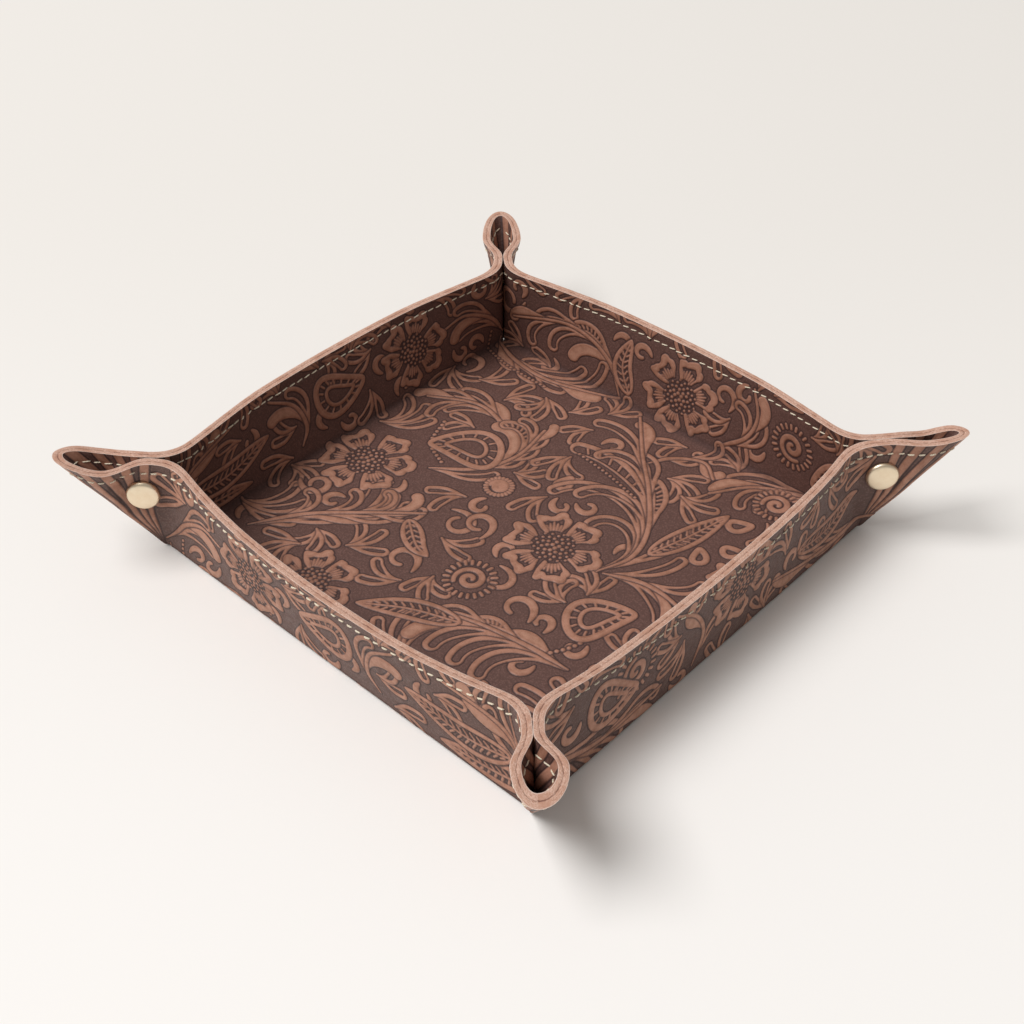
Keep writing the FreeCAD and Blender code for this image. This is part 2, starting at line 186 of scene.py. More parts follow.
# turn about Z, lean of the rim's middle, loss of bow towards its ends, ears at the right (1) and left (-1)
walls = {
    "back": {"turn": 0, "lean": 7.6, "loss": 0.7, "ears": {1: "back_ear_right", -1: "back_ear_left"}},
    "left": {"turn": 90, "lean": 8.0, "loss": 0.75, "ears": {1: "left_ear_back", -1: "left_ear_front"}},
    "front": {"turn": 180, "lean": 5.5, "loss": 0.3, "ears": {1: "front_ear_left", -1: "front_ear_right"}},
    "right": {"turn": 270, "lean": 1.5, "loss": 0.0, "ears": {1: "right_ear_front", -1: "right_ear_back"}},
}
earPlace = {ear: (name, side) for name, wall in walls.items() for side, ear in wall["ears"].items()}
snaps = {  # turn about Z from the back right corner, ear half with the cap, ear half with the eyelet
    "front_left": {"turn": 180, "cap": "front_ear_left", "eyelet": "left_ear_front"},
    "front_right": {"turn": 270, "cap": "right_ear_front", "eyelet": "front_ear_right"},
    "back_right": {"turn": 0, "cap": "right_ear_back", "eyelet": "back_ear_right"},
    "back_left": {"turn": 90, "cap": "left_ear_back", "eyelet": "back_ear_left"},
}


def ease(t):
    t = np.clip(t, 0.0, 1.0)
    return t * t * (3 - 2 * t)


def tone(code):  # web colour to scene colour
    parts = [int(code[i:i + 2], 16) / 255 for i in (0, 2, 4)]
    return tuple(p / 12.92 if p <= 0.04045 else ((p + 0.055) / 1.055) ** 2.4 for p in parts) + (1.0,)


def runOf(line):  # length along a line, at each of its points
    return np.concatenate([[0], np.cumsum(np.linalg.norm(np.diff(line, axis=0), axis=1))])


def sampled(spots, run, line):  # points at given lengths along a line
    return np.stack([np.interp(spots, run, line[:, k]) for k in range(line.shape[1])], -1)


def unitOf(vectors):
    return vectors / np.maximum(np.linalg.norm(vectors, axis=-1, keepdims=True), 1e-9)


def bell(sigma):  # weights of a running mean, and how far they reach to each side
    count = max(int(3 * sigma), 1)
    weights = np.exp(-0.5 * (np.arange(-count, count + 1) / sigma) ** 2)
    return weights / weights.sum(), count


def padded(rows, count):
    return np.concatenate([np.repeat(rows[:1], count, 0), rows, np.repeat(rows[-1:], count, 0)])


# tooling: the floral pattern as a field of distances on the flat sheet, below zero inside a ribbon

tooling = {
    "span": 134.0,
    "step": 0.25,
    "margin": 3.0,
    "bare": 9.0,  # distance where nothing is tooled yet
    "plain": 3.0,  # distance from which the leather is plain ground
    "between": 0.8,  # dark line kept round a ribbon that lies in front
    "rooms": (8.2, 6.6, 5.2),  # widths of open places that get more leaves
    "roomStep": 4,  # cells between the places that are tried
}
cells = int(2 * tooling["span"] / tooling["step"]) + 1
axisCells = np.linspace(-tooling["span"], tooling["span"], cells).astype(np.float32)
field = np.full((cells, cells), tooling["bare"], np.float32)  # rows follow v, columns u


def cellRange(values, reach):
    a = int((values.min() - reach + tooling["span"]) / tooling["step"])
    b = int((values.max() + reach + tooling["span"]) / tooling["step"]) + 2
    return max(a, 0), min(max(b, 0), cells)


def strokeInto(patch, us, vs, line, width):
    x, y = us[None, :], vs[:, None]
    for (ax, ay), (bx, by), wa, wb in zip(line[:-1], line[1:], width[:-1], width[1:]):
        dx, dy = bx - ax, by - ay
        t = np.clip(((x - ax) * dx + (y - ay) * dy) / max(dx * dx + dy * dy, 1e-6), 0, 1)
        gap = np.sqrt((x - ax - t * dx) ** 2 + (y - ay - t * dy) ** 2) - (wa + t * (wb - wa))
        np.minimum(patch, gap, out=patch)


def carve(strokes, cuts=(), between=tooling["between"]):
    # one motif: union of its strokes, less its cuts, kept clear of what is already there
    every = np.concatenate([line for line, width in strokes])
    widest = max(float(np.max(width)) for line, width in strokes)
    u0, u1 = cellRange(every[:, 0], widest + tooling["margin"])
    v0, v1 = cellRange(every[:, 1], widest + tooling["margin"])
    if u1 - u0 < 2 or v1 - v0 < 2:
        return
    patch = np.full((v1 - v0, u1 - u0), tooling["bare"], np.float32)
    for cutting, group in ((False, strokes), (True, cuts)):
        for line, width in group:
            reach = float(np.max(width)) + tooling["margin"]
            a0, a1 = np.clip(cellRange(line[:, 0], reach), u0, u1)
            b0, b1 = np.clip(cellRange(line[:, 1], reach), v0, v1)
            if a1 - a0 < 2 or b1 - b0 < 2:
                continue
            part = patch[b0 - v0:b1 - v0, a0 - u0:a1 - u0]
            drawn = np.full(part.shape, tooling["bare"], np.float32) if cutting else part
            strokeInto(drawn, axisCells[a0:a1], axisCells[b0:b1], line, width)
            if cutting:
                np.maximum(part, -drawn, out=part)
    before = field[v0:v1, u0:u1]
    np.maximum(patch, between - before, out=patch)
    np.minimum(before, patch, out=before)


def curl(x, y, heading, length, turn, late, count):
    # a line that turns by so many degrees on its way, mostly at its end when late is over 1
    t = np.linspace(0, 1, count)
    angle = np.radians(heading + turn * t ** late)
    step = length / (count - 1)
    middle = (angle[1:] + angle[:-1]) / 2
    xs = x + np.concatenate([[0], np.cumsum(np.cos(middle))]) * step
    ys = y + np.concatenate([[0], np.cumsum(np.sin(middle))]) * step
    return np.stack([xs, ys], -1), t


def through(points, step=0.9):
    # smooth line through a few points
    p = np.array(points, float)
    ends = np.concatenate([[2 * p[0] - p[1]], p, [2 * p[-1] - p[-2]]])
    line = [p[0]]
    for a, b, c, d in zip(ends[:-3], ends[1:-2], ends[2:-1], ends[3:]):
        for t in np.linspace(0, 1, 14)[1:]:
            line.append(0.5 * (2 * b + (c - a) * t + (2 * a - 5 * b + 4 * c - d) * t ** 2
                               + (3 * b - a - 3 * c + d) * t ** 3))
    line = np.array(line)
    run = runOf(line)
    return sampled(np.linspace(0, run[-1], max(int(run[-1] / step), 6)), run, line)


def facingOf(line):
    return np.unwrap(np.arctan2(*np.gradient(line, axis=0).T[::-1]))


def leftOf(facing):
    return np.stack([-np.sin(facing), np.cos(facing)], -1)


def polar(x, y, radius, angle):
    return np.stack([x + radius * np.cos(angle), y + radius * np.sin(angle)], -1)


def dot(place, radius, between):
    carve([(np.array([place, place + [0.01, 0]]), np.full(2, radius))], (), between)


def leafFrom(line, wide, slit, ticks, between):
    # ribbon that swells to a round end, most with a slit nearer the hollow side, some with ticks across it
    run = runOf(line)
    t = run / run[-1]
    width = 1.05 * wide * (0.16 + 0.84 * ease((t - 0.02) / 0.72))
    inner = width - (0.95 + 0.15 * wide)
    keep = (t > 0.3) & (inner > 0.12)
    facing = facingOf(line)
    bend = 1.0 if facing[-1] > facing[0] else -1.0
    hollow = line + leftOf(facing) * (0.34 * bend * inner)[:, None]
    slits = [(hollow[keep], inner[keep])] if slit and keep.sum() > 2 else ()
    carve([(line, width)], slits, between)
    if ticks and keep.sum() > 4:
        for k in np.nonzero(keep)[0][1::3]:
            side = leftOf(facing[k] + 0.5) * max(inner[k] - 0.25, 0.15)
            carve([(np.array([line[k] - side, line[k] + side]), np.full(2, 0.42))], (), 0.3)


def sprig(spot):
    # stem whose leaves run along it for a while before they part from it
    points, leaves = spot
    stem = through(points)
    facing = facingOf(stem)
    last = len(stem) - 1
    t = np.linspace(0, 1, len(stem))
    carve([(stem, (0.5 + 0.5 * (1 - t)) * (0.3 + 0.7 * ease(t / 0.22)))], (), 0.6)
    for k, leaf in enumerate(sorted(leaves, key=lambda leaf: -leaf[0])):
        share, side, run, length, turn, wide = leaf[:6]
        ticks = len(leaf) > 6
        a, b = int(share * last), min(int((share + run) * last), last)
        part = np.arange(a, max(b, a + 1) + 1).clip(0, last)
        root = stem[part] + np.linspace(0.4, 2.3, len(part))[:, None] * side * leftOf(facing[part])
        heading = math.degrees(facing[part[-1]]) + side * 20
        tip, _ = curl(*root[-1], heading, length, side * turn, 1.5, 22)
        leafFrom(np.concatenate([root, tip[1:]]), wide, ticks or k % 5 > 0, ticks, 0.7)


def fan(spot):
    # leaves from one root, the middle one in front
    x, y, heading, count, spread, length, turn, wide = spot
    for off in sorted(np.arange(count) - (count - 1) / 2, key=abs):
        line, _ = curl(x, y, heading + off * spread * 0.45, length * (1 - 0.05 * abs(off)),
                       off * spread * 0.55 + turn, 1.2, 24)
        leafFrom(line, wide * (1 - 0.04 * abs(off)), wide > 2, False, 0.65)


def flower(spot):
    # six open petals with wavy ribbon edges round a seeded centre
    x, y, size, start = spot
    q = np.linspace(-1, 1, 41)
    for k in range(6):
        middle = start + 60 * k + 3 * math.sin(k * 2.3 + start)
        wave = 0.05 * np.cos(q * math.pi * 2.2 + k) + 0.028 * np.cos(q * math.pi * 4.6 + 1.7 * k)
        reach = size * (0.45 + (0.4 + wave) * (1 - np.abs(q) ** 5))
        angle = np.radians(middle + 26.5 * np.sign(q) * np.abs(q) ** 0.62 * (1 - 0.34 * np.abs(q) ** 6))
        width = 0.5 + size * 0.046 * (1 - np.abs(q) ** 3) + 0.3 * np.cos(q * math.pi * 3.6 + k)
        carve([(polar(x, y, reach, angle), width)], (), 0.75)
        for tick in (-13, -6.5, 0, 6.5, 13):
            ends = size * np.array([0.48, 0.7 - abs(tick) * 0.006])
            carve([(polar(x, y, ends, math.radians(middle + tick)), np.array([0.5, 0.3]))], (), 0.4)
    seeds, centre, golden = 48, size * 0.43, 2.39996
    for k in range(seeds):
        r = centre * math.sqrt((k + 0.4) / seeds)
        dot(polar(x, y, r, k * golden), 0.82 - 0.36 * r / centre, 0.3)


def bentDrop(x, y, heading, long, wide, bend, q):
    along = long * np.cos(q)
    aside = wide * np.sin(q) * (1 - 0.5 * np.cos(q)) + bend * along ** 2 / long
    c, s = math.cos(math.radians(heading)), math.sin(math.radians(heading))
    return np.stack([x + along * c - aside * s, y + along * s + aside * c], -1)


def paisley(spot):
    # bent drop with a ribbon edge, a smaller drop inside and hatching between
    x, y, heading, size, side = spot
    q = np.linspace(0, 2 * math.pi, 48)
    ring = bentDrop(x, y, heading, size * 0.56, size * 0.36, side * 0.25, q)
    core = bentDrop(x, y, heading, size * 0.32, size * 0.17, side * 0.25, q)
    strokes = [(ring, 1.0 + 0.35 * np.sin(q / 2)), (core, np.full(len(q), 0.75))]
    for near, far in zip(core[2:46:3], ring[2:46:3]):
        gap = far - near
        strokes.append((np.array([near + 0.34 * gap, near + 0.66 * gap]), np.array([0.42, 0.36])))
    carve(strokes)


def feather(spot):
    # long leaf with a midrib and ticks to both edges
    points, wide = spot
    rib = through(points, 1.0)
    t = np.linspace(0, 1, len(rib))
    facing = facingOf(rib)
    side = leftOf(facing)
    lead = np.stack([np.cos(facing), np.sin(facing)], -1) * wide * 0.35
    belly = wide * np.sin(math.pi * t ** 0.75) ** 0.75
    strokes = [(rib, np.full(len(t), 0.36))]
    for sign in (-1, 1):
        strokes.append((rib + sign * side * belly[:, None], 0.5 + 0.4 * np.sin(math.pi * t)))
        for k in range(3, len(rib) - 3, 3):
            ends = np.array([rib[k] + sign * side[k], rib[k] + sign * side[k] * belly[k] * 0.6 + lead[k]])
            strokes.append((ends, np.array([0.36, 0.28])))
    carve(strokes)


def hook(spot):
    # scroll that rolls up at its end
    x, y, heading, length, turn, wide = spot
    line, t = curl(x, y, heading, length * 1.3, turn * 1.75, 1.5, 40)
    width = wide * (0.16 + 0.5 * np.sin(math.pi * t ** 0.8) + 0.18 * ease((t - 0.8) / 0.15))
    carve([(line, width)])


def drop(spot):
    # closed loop, dark inside
    x, y, heading, size = spot
    line = bentDrop(x, y, heading, size * 0.5, size * 0.3, 0.12, np.linspace(0, 2 * math.pi, 30))
    carve([(line, np.full(len(line), 0.75 + size * 0.05))], (), 0.7)


def bud(spot):
    # rolled blossom: a spiral with ticks round it
    x, y, size, start = spot
    t = np.linspace(0, 1, 70)
    spiral = polar(x, y, size * (0.1 + 0.56 * t), np.radians(start + 560 * t))
    carve([(spiral, 0.75 + 0.45 * np.sin(math.pi * t))])
    ticks = 22
    for k in range(ticks):
        ray = polar(x, y, size * np.array([0.86, 1.05]), math.radians(start + 360 / ticks * k))
        carve([(ray, np.array([0.5, 0.58]))], (), 0.35)


def pearls(spot):
    points, size = spot
    for place in through(points, 2.1):
        dot(place, size, 0.4)


design = {
    "flowers": [  # u, v, radius, turn
        (17.7, 2.3, 20.5, 12), (-73.2, -9.5, 20.5, 28), (-36.0, -73.0, 18.0, 5), (5.0, 107.5, 19.5, 20),
        (14.0, -120.0, 19.0, 30), (-112.0, 40.0, 18.5, 40), (110.0, -30.0, 19.0, 8), (86.0, 34.0, 17.0, 0),
    ],
    "paisleys": [  # u, v, heading, size, side
        (-49.5, 25.0, 200, 27, 1), (54.5, -14.5, 60, 23, -1), (112.0, 30.0, 100, 22, 1),
        (-111.0, -2.0, 80, 23, 1), (-58.0, -112.0, 20, 22, -1), (84.0, 106.0, 200, 20, 1),
    ],
    "buds": [(6.8, -32.0, 9.5, 30), (63.0, 112.0, 9.5, 100), (66.0, 80.0, 8.5, 10),
             (-47.0, -119.0, 10.0, 60), (-22.0, 14.5, 5.5, 0), (112.0, 88.0, 9.0, 200)],
    "pearls": [([(-68, 30), (-62, 16), (-50, 10)], 0.75), ([(60, -20), (58, -32), (54, -40)], 0.75),
               ([(-100, 84), (-78, 78), (-54, 77)], 0.65), ([(22, 46), (4, 50), (-12, 52)], 0.6)],
    "feathers": [  # points of the midrib, half width
        ([(20, -51), (2, -58), (-15, -69)], 4.6), ([(47, 24), (52, 42), (56, 62)], 4.4),
        ([(-34, -24), (-22, -32), (-14, -34)], 3.6), ([(-108, -88), (-106, -66), (-112, -42)], 5.2),
        ([(-102, -100), (-98, -76), (-96, -54)], 3.8), ([(52, -108), (72, -106), (92, -112)], 4.6),
        ([(104, 0), (102, 14), (98, 30)], 3.6), ([(-20, 96), (-26, 108), (-24, 122)], 4.2),
    ],
    "sprigs": [  # points of the stem, leaves: share, side, run, length, turn, half width, True for ticks
        ([(38.6, 3.2), (43.2, 18.6), (37.7, 35), (23.2, 53.2), (6.8, 69.5), (-9.5, 88)],
         [(0.66, 1, 0.16, 22, 60, 2.7), (0.52, 1, 0.16, 20, 95, 2.5), (0.34, 1, 0.18, 40, 50, 3.7, True),
          (0.22, 1, 0.16, 34, 110, 2.9), (0.1, 1, 0.18, 52, 120, 2.8), (0.02, 1, 0.16, 30, 150, 2.5),
          (0.74, -1, 0.1, 13, -75, 2.4), (0.5, -1, 0.12, 16, -80, 2.6), (0.32, -1, 0.1, 18, -50, 2.9, True),
          (0.06, -1, 0.08, 27, -34, 2.7)]),
        ([(41, 4), (56, 10), (72, 9), (88, 2)],
         [(0.05, 1, 0.15, 22, 45, 2.5), (0.3, 1, 0.15, 16, 70, 2.3), (0.1, -1, 0.2, 20, 50, 2.7),
          (0.4, -1, 0.15, 16, 70, 2.4)]),
        ([(-51, 4), (-36, 17), (-30, 34), (-33, 54)],
         [(0.42, -1, 0.1, 9, -60, 2.0), (0.56, -1, 0.1, 9, -60, 2.0), (0.7, -1, 0.1, 9, -60, 2.0),
          (0.84, -1, 0.1, 8, -50, 1.9), (0.45, 1, 0.14, 24, 110, 2.9), (0.66, 1, 0.14, 18, 110, 2.6, True),
          (0.8, 1, 0.12, 12, 80, 2.2), (0.02, -1, 0.12, 20, -50, 2.3)]),
        ([(-40, 40), (-54, 47), (-68, 48), (-86, 38)],
         [(0.1, -1, 0.12, 15, -70, 2.5), (0.32, -1, 0.12, 17, -60, 2.7), (0.56, -1, 0.1, 14, -60, 2.5),
          (0.76, -1, 0.1, 12, -60, 2.3), (0.3, 1, 0.14, 16, 60, 2.3), (0.62, 1, 0.14, 14, 70, 2.3)]),
        ([(-78, -68), (-66, -48.6), (-49.5, -32.3), (-32, -17)],
         [(0.2, 1, 0.1, 14, 110, 2.6), (0.42, 1, 0.1, 13, 110, 2.5), (0.62, 1, 0.1, 12, 110, 2.4),
          (0.8, 1, 0.08, 10, 100, 2.2), (0.05, -1, 0.2, 44, -95, 3.6), (0.22, -1, 0.2, 34, -100, 3.1),
          (0.4, -1, 0.18, 26, -90, 2.7), (0.66, -1, 0.14, 14, -90, 2.4)]),
        ([(64, -42), (46, -43), (28, -46), (14, -50)],
         [(0.02, 1, 0.2, 26, 95, 3.2), (0.26, 1, 0.2, 24, 85, 3.1), (0.48, 1, 0.2, 22, 70, 3.0),
          (0.7, 1, 0.2, 20, 55, 2.7), (0.12, -1, 0.14, 15, -80, 2.7), (0.44, -1, 0.14, 13, -80, 2.5, True),
          (0.7, -1, 0.14, 12, -70, 2.2)]),
        ([(-94, 90), (-76, 83), (-54, 82), (-24, 92)],
         [(0.06, -1, 0.1, 12, -40, 2.7), (0.26, -1, 0.08, 11, -40, 2.7), (0.44, -1, 0.08, 11, -40, 2.7),
          (0.62, -1, 0.08, 12, -40, 2.8), (0.2, 1, 0.24, 22, 40, 2.6), (0.5, 1, 0.2, 20, 50, 2.6)]),
        ([(12, 66), (18, 76), (29, 82), (38, 76)],
         [(0.25, -1, 0.12, 12, -120, 2.4), (0.5, 1, 0.12, 12, 80, 2.3), (0.62, -1, 0.12, 10, -110, 2.2)]),
        ([(92, 90), (74, 92), (54, 84), (42, 68)],
         [(0.25, 1, 0.16, 18, 80, 2.7), (0.5, 1, 0.16, 14, 80, 2.5), (0.3, -1, 0.2, 22, -60, 2.6),
          (0.6, -1, 0.15, 14, -70, 2.4)]),
        ([(-24, 92), (-34, 108), (-56, 116), (-86, 108)],
         [(0.15, 1, 0.14, 18, 90, 2.7), (0.4, 1, 0.14, 18, 90, 2.7), (0.66, 1, 0.14, 14, 80, 2.5),
          (0.2, -1, 0.14, 16, -80, 2.6, True), (0.5, -1, 0.14, 14, -80, 2.5),
          (0.74, -1, 0.12, 12, -80, 2.4)]),
        ([(28, 94), (40, 104), (44, 116), (40, 128)],
         [(0.2, -1, 0.16, 16, -90, 2.6), (0.5, -1, 0.14, 12, -80, 2.4), (0.3, 1, 0.16, 12, 90, 2.4)]),
        ([(-96, -108), (-78, -102), (-58, -98), (-30, -100)],
         [(0.05, 1, 0.3, 26, 60, 2.9), (0.3, 1, 0.25, 22, 70, 2.8), (0.6, 1, 0.2, 16, 80, 2.6),
          (0.1, -1, 0.3, 22, -70, 2.8), (0.55, -1, 0.2, 16, -80, 2.6)]),
        ([(-12, -96), (-8, -110), (-14, -122), (-26, -130)],
         [(0.1, 1, 0.2, 12, 80, 2.4), (0.4, -1, 0.2, 12, -90, 2.4)]),
        ([(100, -98), (78, -96), (58, -98), (36, -104)],
         [(0.15, 1, 0.2, 20, 80, 2.8), (0.4, 1, 0.2, 18, 80, 2.7), (0.2, -1, 0.2, 18, -80, 2.7),
          (0.6, -1, 0.18, 14, -80, 2.5)]),
        ([(-96, -110), (-106, -100), (-120, -84), (-127, -60)],
         [(0.1, -1, 0.2, 24, -50, 2.8), (0.35, -1, 0.2, 20, -60, 2.7), (0.3, 1, 0.2, 16, 60, 2.5)]),
        ([(-96, 92), (-108, 84), (-116, 70), (-114, 58)],
         [(0.1, 1, 0.2, 20, 60, 2.7), (0.4, 1, 0.2, 14, 80, 2.5), (0.3, -1, 0.2, 16, -70, 2.5)]),
        ([(-98, -26), (-106, -22), (-118, -26), (-126, -38)],
         [(0.2, -1, 0.2, 16, -80, 2.6), (0.3, 1, 0.2, 14, 80, 2.5)]),
        ([(100, -96), (108, -82), (112, -66), (108, -52)],
         [(0.1, 1, 0.2, 20, 80, 2.8), (0.4, 1, 0.2, 14, 80, 2.5), (0.2, -1, 0.2, 18, -70, 2.6)]),
        ([(100, 92), (112, 76), (110, 60), (104, 50)],
         [(0.1, 1, 0.2, 18, 70, 2.6), (0.3, -1, 0.2, 18, -80, 2.6)]),
    ],
    "fans": [  # root, heading, leaves, spread, length, turn, half width
        (-92, -60, 0, 3, 40, 28, 80, 2.6), (84, -72, 110, 4, 36, 32, 70, 2.7),
        (-88, 12, 30, 3, 40, 24, 90, 2.5), (92, 92, 45, 9, 12, 74, 16, 1.45),
        (-92, 92, 135, 9, 12, 74, 16, 1.45), (92, -92, -45, 9, 12, 74, 16, 1.45),
        (-92, -92, 225, 9, 12, 74, 16, 1.45), (20, -78, 170, 3, 40, 26, -80, 2.6),
    ],
    "hooks": [  # u, v, heading, length, turn, half width
        (-6, -13, 78, 24, 190, 2.2), (10, -19, 10, 20, -170, 2.0), (-26, -8, 30, 26, -200, 2.1),
        (-84, -36, 320, 24, 210, 2.2), (38, -34, 100, 20, 150, 2.4), (-86, 62, 60, 20, 170, 2.1),
        (80, 56, 200, 22, 180, 2.1), (-12, -44, 100, 22, 170, 2.3), (-80, 118, 250, 30, -200, 2.4),
        (30, 112, 60, 18, 170, 2.0),
    ],
    "drops": [(63, 60, 40, 9), (62, 36, 120, 8), (70, 46, 30, 8), (-18, -84, 20, 9), (-4, 34, 90, 8),
              (74, -34, 60, 9)],
}


def widthOfRoom():
    # rough width of the open ground round every few cells
    near = field[::tooling["roomStep"], ::tooling["roomStep"]].copy()
    near[near < 0] = 0
    unknown, trusted = 40, 2.5
    near[near > trusted] = unknown
    for _ in range(14):
        wide = np.pad(near, 1, constant_values=unknown)
        for dy in (-1, 0, 1):
            for dx in (-1, 0, 1):
                part = wide[1 + dy:1 + dy + near.shape[0], 1 + dx:1 + dx + near.shape[1]]
                np.minimum(near, part + math.hypot(dx, dy), out=near)
    return near


def fillGaps():
    # a few more leaves and scrolls in the widest open places
    spin = 0
    for room in tooling["rooms"]:
        near = widthOfRoom()
        taken = []
        for place in np.argsort(near, axis=None)[::-1]:
            r, c = divmod(int(place), near.shape[1])
            if near[r, c] < room:
                break
            x, y = (float(axisCells[k * tooling["roomStep"]]) for k in (c, r))
            if any((x - a) ** 2 + (y - b) ** 2 < (1.8 * room) ** 2 for a, b in taken):
                continue
            taken.append((x, y))
            spin += 1
            heading = (spin * 137.5) % 360
            if room > 6.5:
                root = polar(x, y, -room * 0.9, math.radians(heading))
                fan((*root, heading, 2 + spin % 2, 62, room * 1.9, 50 if spin % 3 else -60, 2.3))
            else:
                root = polar(x, y, -room * 0.7, math.radians(heading))
                hook((*root, heading - 40, room * 2.4, 150 if spin % 2 else -150, 2.2))


makers = {"flowers": flower, "paisleys": paisley, "buds": bud, "pearls": pearls, "feathers": feather,
          "sprigs": sprig, "hooks": hook, "fans": fan, "drops": drop}
for kind, make in makers.items():
    for spot in design[kind]:
        make(spot)
print("main motifs tooled")
fillGaps()
print("pattern filled, raised share", round(float((field < 0).mean()), 3))


def toolAt(u, v, outside):
    # distance to the nearest ribbon; the outer sheet is cut the other way round
    if outside:
        u, v = v, -u
    x, y = (np.clip((w + tooling["span"]) / tooling["step"], 0, cells - 1.001) for w in (u, v))
    i, j = x.astype(int), y.astype(int)
    fx, fy = x - i, y - j
    low = field[j, i] * (1 - fx) + field[j, i + 1] * fx
    high = field[j + 1, i] * (1 - fx) + field[j + 1, i + 1] * fx
    return np.clip(low * (1 - fy) + high * fy, -tooling["plain"], tooling["plain"])


relief = {
    "raise": 0.24,
    "edge": (0.24, 0.5),  # where a ribbon's edge starts to rise, and over what distance
    "crown": 0.02,
    "crownEdge": (-0.2, 1.1),
    "groove": 0.1,
    "grooveAt": 0.45,  # cut line round each ribbon
    "grooveWide": 0.28,
    "seamDip": 0.14,
    "seamWide": 0.75,
    "sink": 0.18,
    "rimEven": (3.5, 2.5),  # the tooling stops short of the rim
}


def reliefOf(tool):
    up, crown = (ease((relief[key][0] - tool) / relief[key][1]) for key in ("edge", "crownEdge"))
    groove = np.exp(-((tool - relief["grooveAt"]) / relief["grooveWide"]) ** 2)
    return relief["raise"] * up + relief["crown"] * crown - relief["groove"] * groove


# folded leather: rows from the fold up to the rim, columns from nose to nose

weave = {
    "wallColumns": 200,  # from the wall's middle to its end
    "earColumns": 84,
    "rows": 88,
    "foldRows": 18,  # rows of the bottom that go with the fold's piece
    "foldPitch": 0.45,
    "foldUp": 17,  # rows of the wall that go with the fold's piece
    "foldRound": (1.8, 2.6),  # softness of the fold in rows, inside and outside
    "earCut": 20,  # columns of the wall that go with the ear's piece
}
seam = {"inset": 4.2, "pitch": 4.0, "slant": 0.13,
        "outer": (2.7, 0.34), "inner": (3.3, 0.27)}  # length and half thickness of a stitch
earShape = {
    "toeShare": 0.25,  # thickness kept at the toe
    "toeStart": 1.2,
    "openFrom": 32.5,  # height from which the loop opens to its place at the rim, and over what height
    "openRun": 10.0,
    "toeGap": 0.08,
    "footGap": 0.38,
    "flare": 1.15,
    "footFullest": 0.46,
    "blunt": 1.3,
}
bendShape = {"before": 32.0, "after": 16.0, "afterShare": 0.6, "step": 0.4, "toeShare": 0.15, "toeRun": 0.35}
nEar, nWall, foldRows, earCut = (weave[key] for key in ("earColumns", "wallColumns", "foldRows", "earCut"))
lastRow = foldRows + weave["rows"] - 1
foldTop = foldRows + weave["foldUp"]
fold0, fold1 = nEar, nEar + 2 * nWall
lastColumn = 2 * (nEar + nWall)
earColumnsOf = {1: (fold1, fold1 - earCut, lastColumn), -1: (fold0, 0, fold0 + earCut)}  # fold, first, last


def cornerPoint(g, l, z):
    return np.stack([tray["half"] + (g - l) / rootTwo, tray["half"] + (g + l) / rootTwo, z + 0 * g], -1)


def earLine(start, z, h, depth, loop):
    # half of a pinched ear at one height, from the fold to the nose
    k = np.clip((z - tray["toeRise"]) / (tray["loopFoot"] - tray["toeRise"]), 0, 1)
    top = np.clip((z - tray["loopFoot"]) / (tray["pinchRise"] - tray["loopFoot"]), 0, 1)
    share = earShape["toeShare"] + (1 - earShape["toeShare"]) * ease(k)
    skin = depth * share
    g0, l0 = start
    slope = h * (tray["earRise"] - tray["pinchRise"]) / (tray["earReach"] - tray["pinchBack"])
    rake = tray["earReach"] / tray["earRise"]
    nose = max((z - slope * g0) * rake / (1 - rake * slope) - tray["leather"] * share, g0 + 0.5)
    opens, wide, fullest, sag, bunch = loop
    begin = earShape["toeStart"] + (tray["loopStart"] - earShape["toeStart"]) * k
    begin += (opens - tray["loopStart"]) * ease((z - earShape["openFrom"]) / earShape["openRun"])
    begin = max(min(begin, nose - 0.4), g0 + 0.1)
    gap = earShape["toeGap"] + (earShape["footGap"] - earShape["toeGap"]) * k
    gap += (wide - earShape["footGap"]) * top ** earShape["flare"]
    widest = begin + (nose - begin) * (earShape["footFullest"] + (fullest - earShape["footFullest"]) * top)
    tip = nose + skin - bunch * (1 - depth / tray["leather"]) * top ** 2
    leave = begin - 0.3 * skin
    g1 = np.linspace(g0, max(leave, g0 + 0.05), 24)
    l1 = np.linspace(l0, skin, 24)
    g2 = np.linspace(g1[-1], widest, 30)[1:]
    l2 = skin + gap * ease((g2 - g1[-1]) / max(widest - g1[-1], 0.05))
    turn = np.linspace(0, math.pi / 2, 30)[1:]
    g3 = widest + (tip - widest) * np.sin(turn)
    l3 = (gap + skin) * np.cos(turn) ** (earShape["blunt"] - (earShape["blunt"] - 1) * top)
    g, l = np.concatenate([g1, g2, g3]), np.concatenate([l1, l2, l3])
    dip = sag * top * np.sin(math.pi * np.clip((g - begin) / max(nose - begin, 0.1), 0, 1)) ** 2
    return cornerPoint(g, l, z + slope * (g - g0) - dip)


def soften(line, at, sigma, after):
    # rounds the bend of a row where the wall turns into the ear
    run = runOf(line)
    even = np.arange(0, run[-1], bendShape["step"])
    flat = sampled(even, run, line)
    weights, count = bell(sigma / bendShape["step"])
    wide = padded(flat, count)
    smooth = np.stack([np.convolve(wide[:, k], weights, "valid") for k in range(3)], -1)
    away = even - run[at]
    part = np.where(away < 0, -away / bendShape["before"], away / max(after, 0.01))
    share = (1 - ease(part))[:, None]
    mixed = np.concatenate([flat * (1 - share) + smooth * share, line[-1:]])
    return mixed, np.concatenate([even, run[-1:]]), run[at], run[-1]


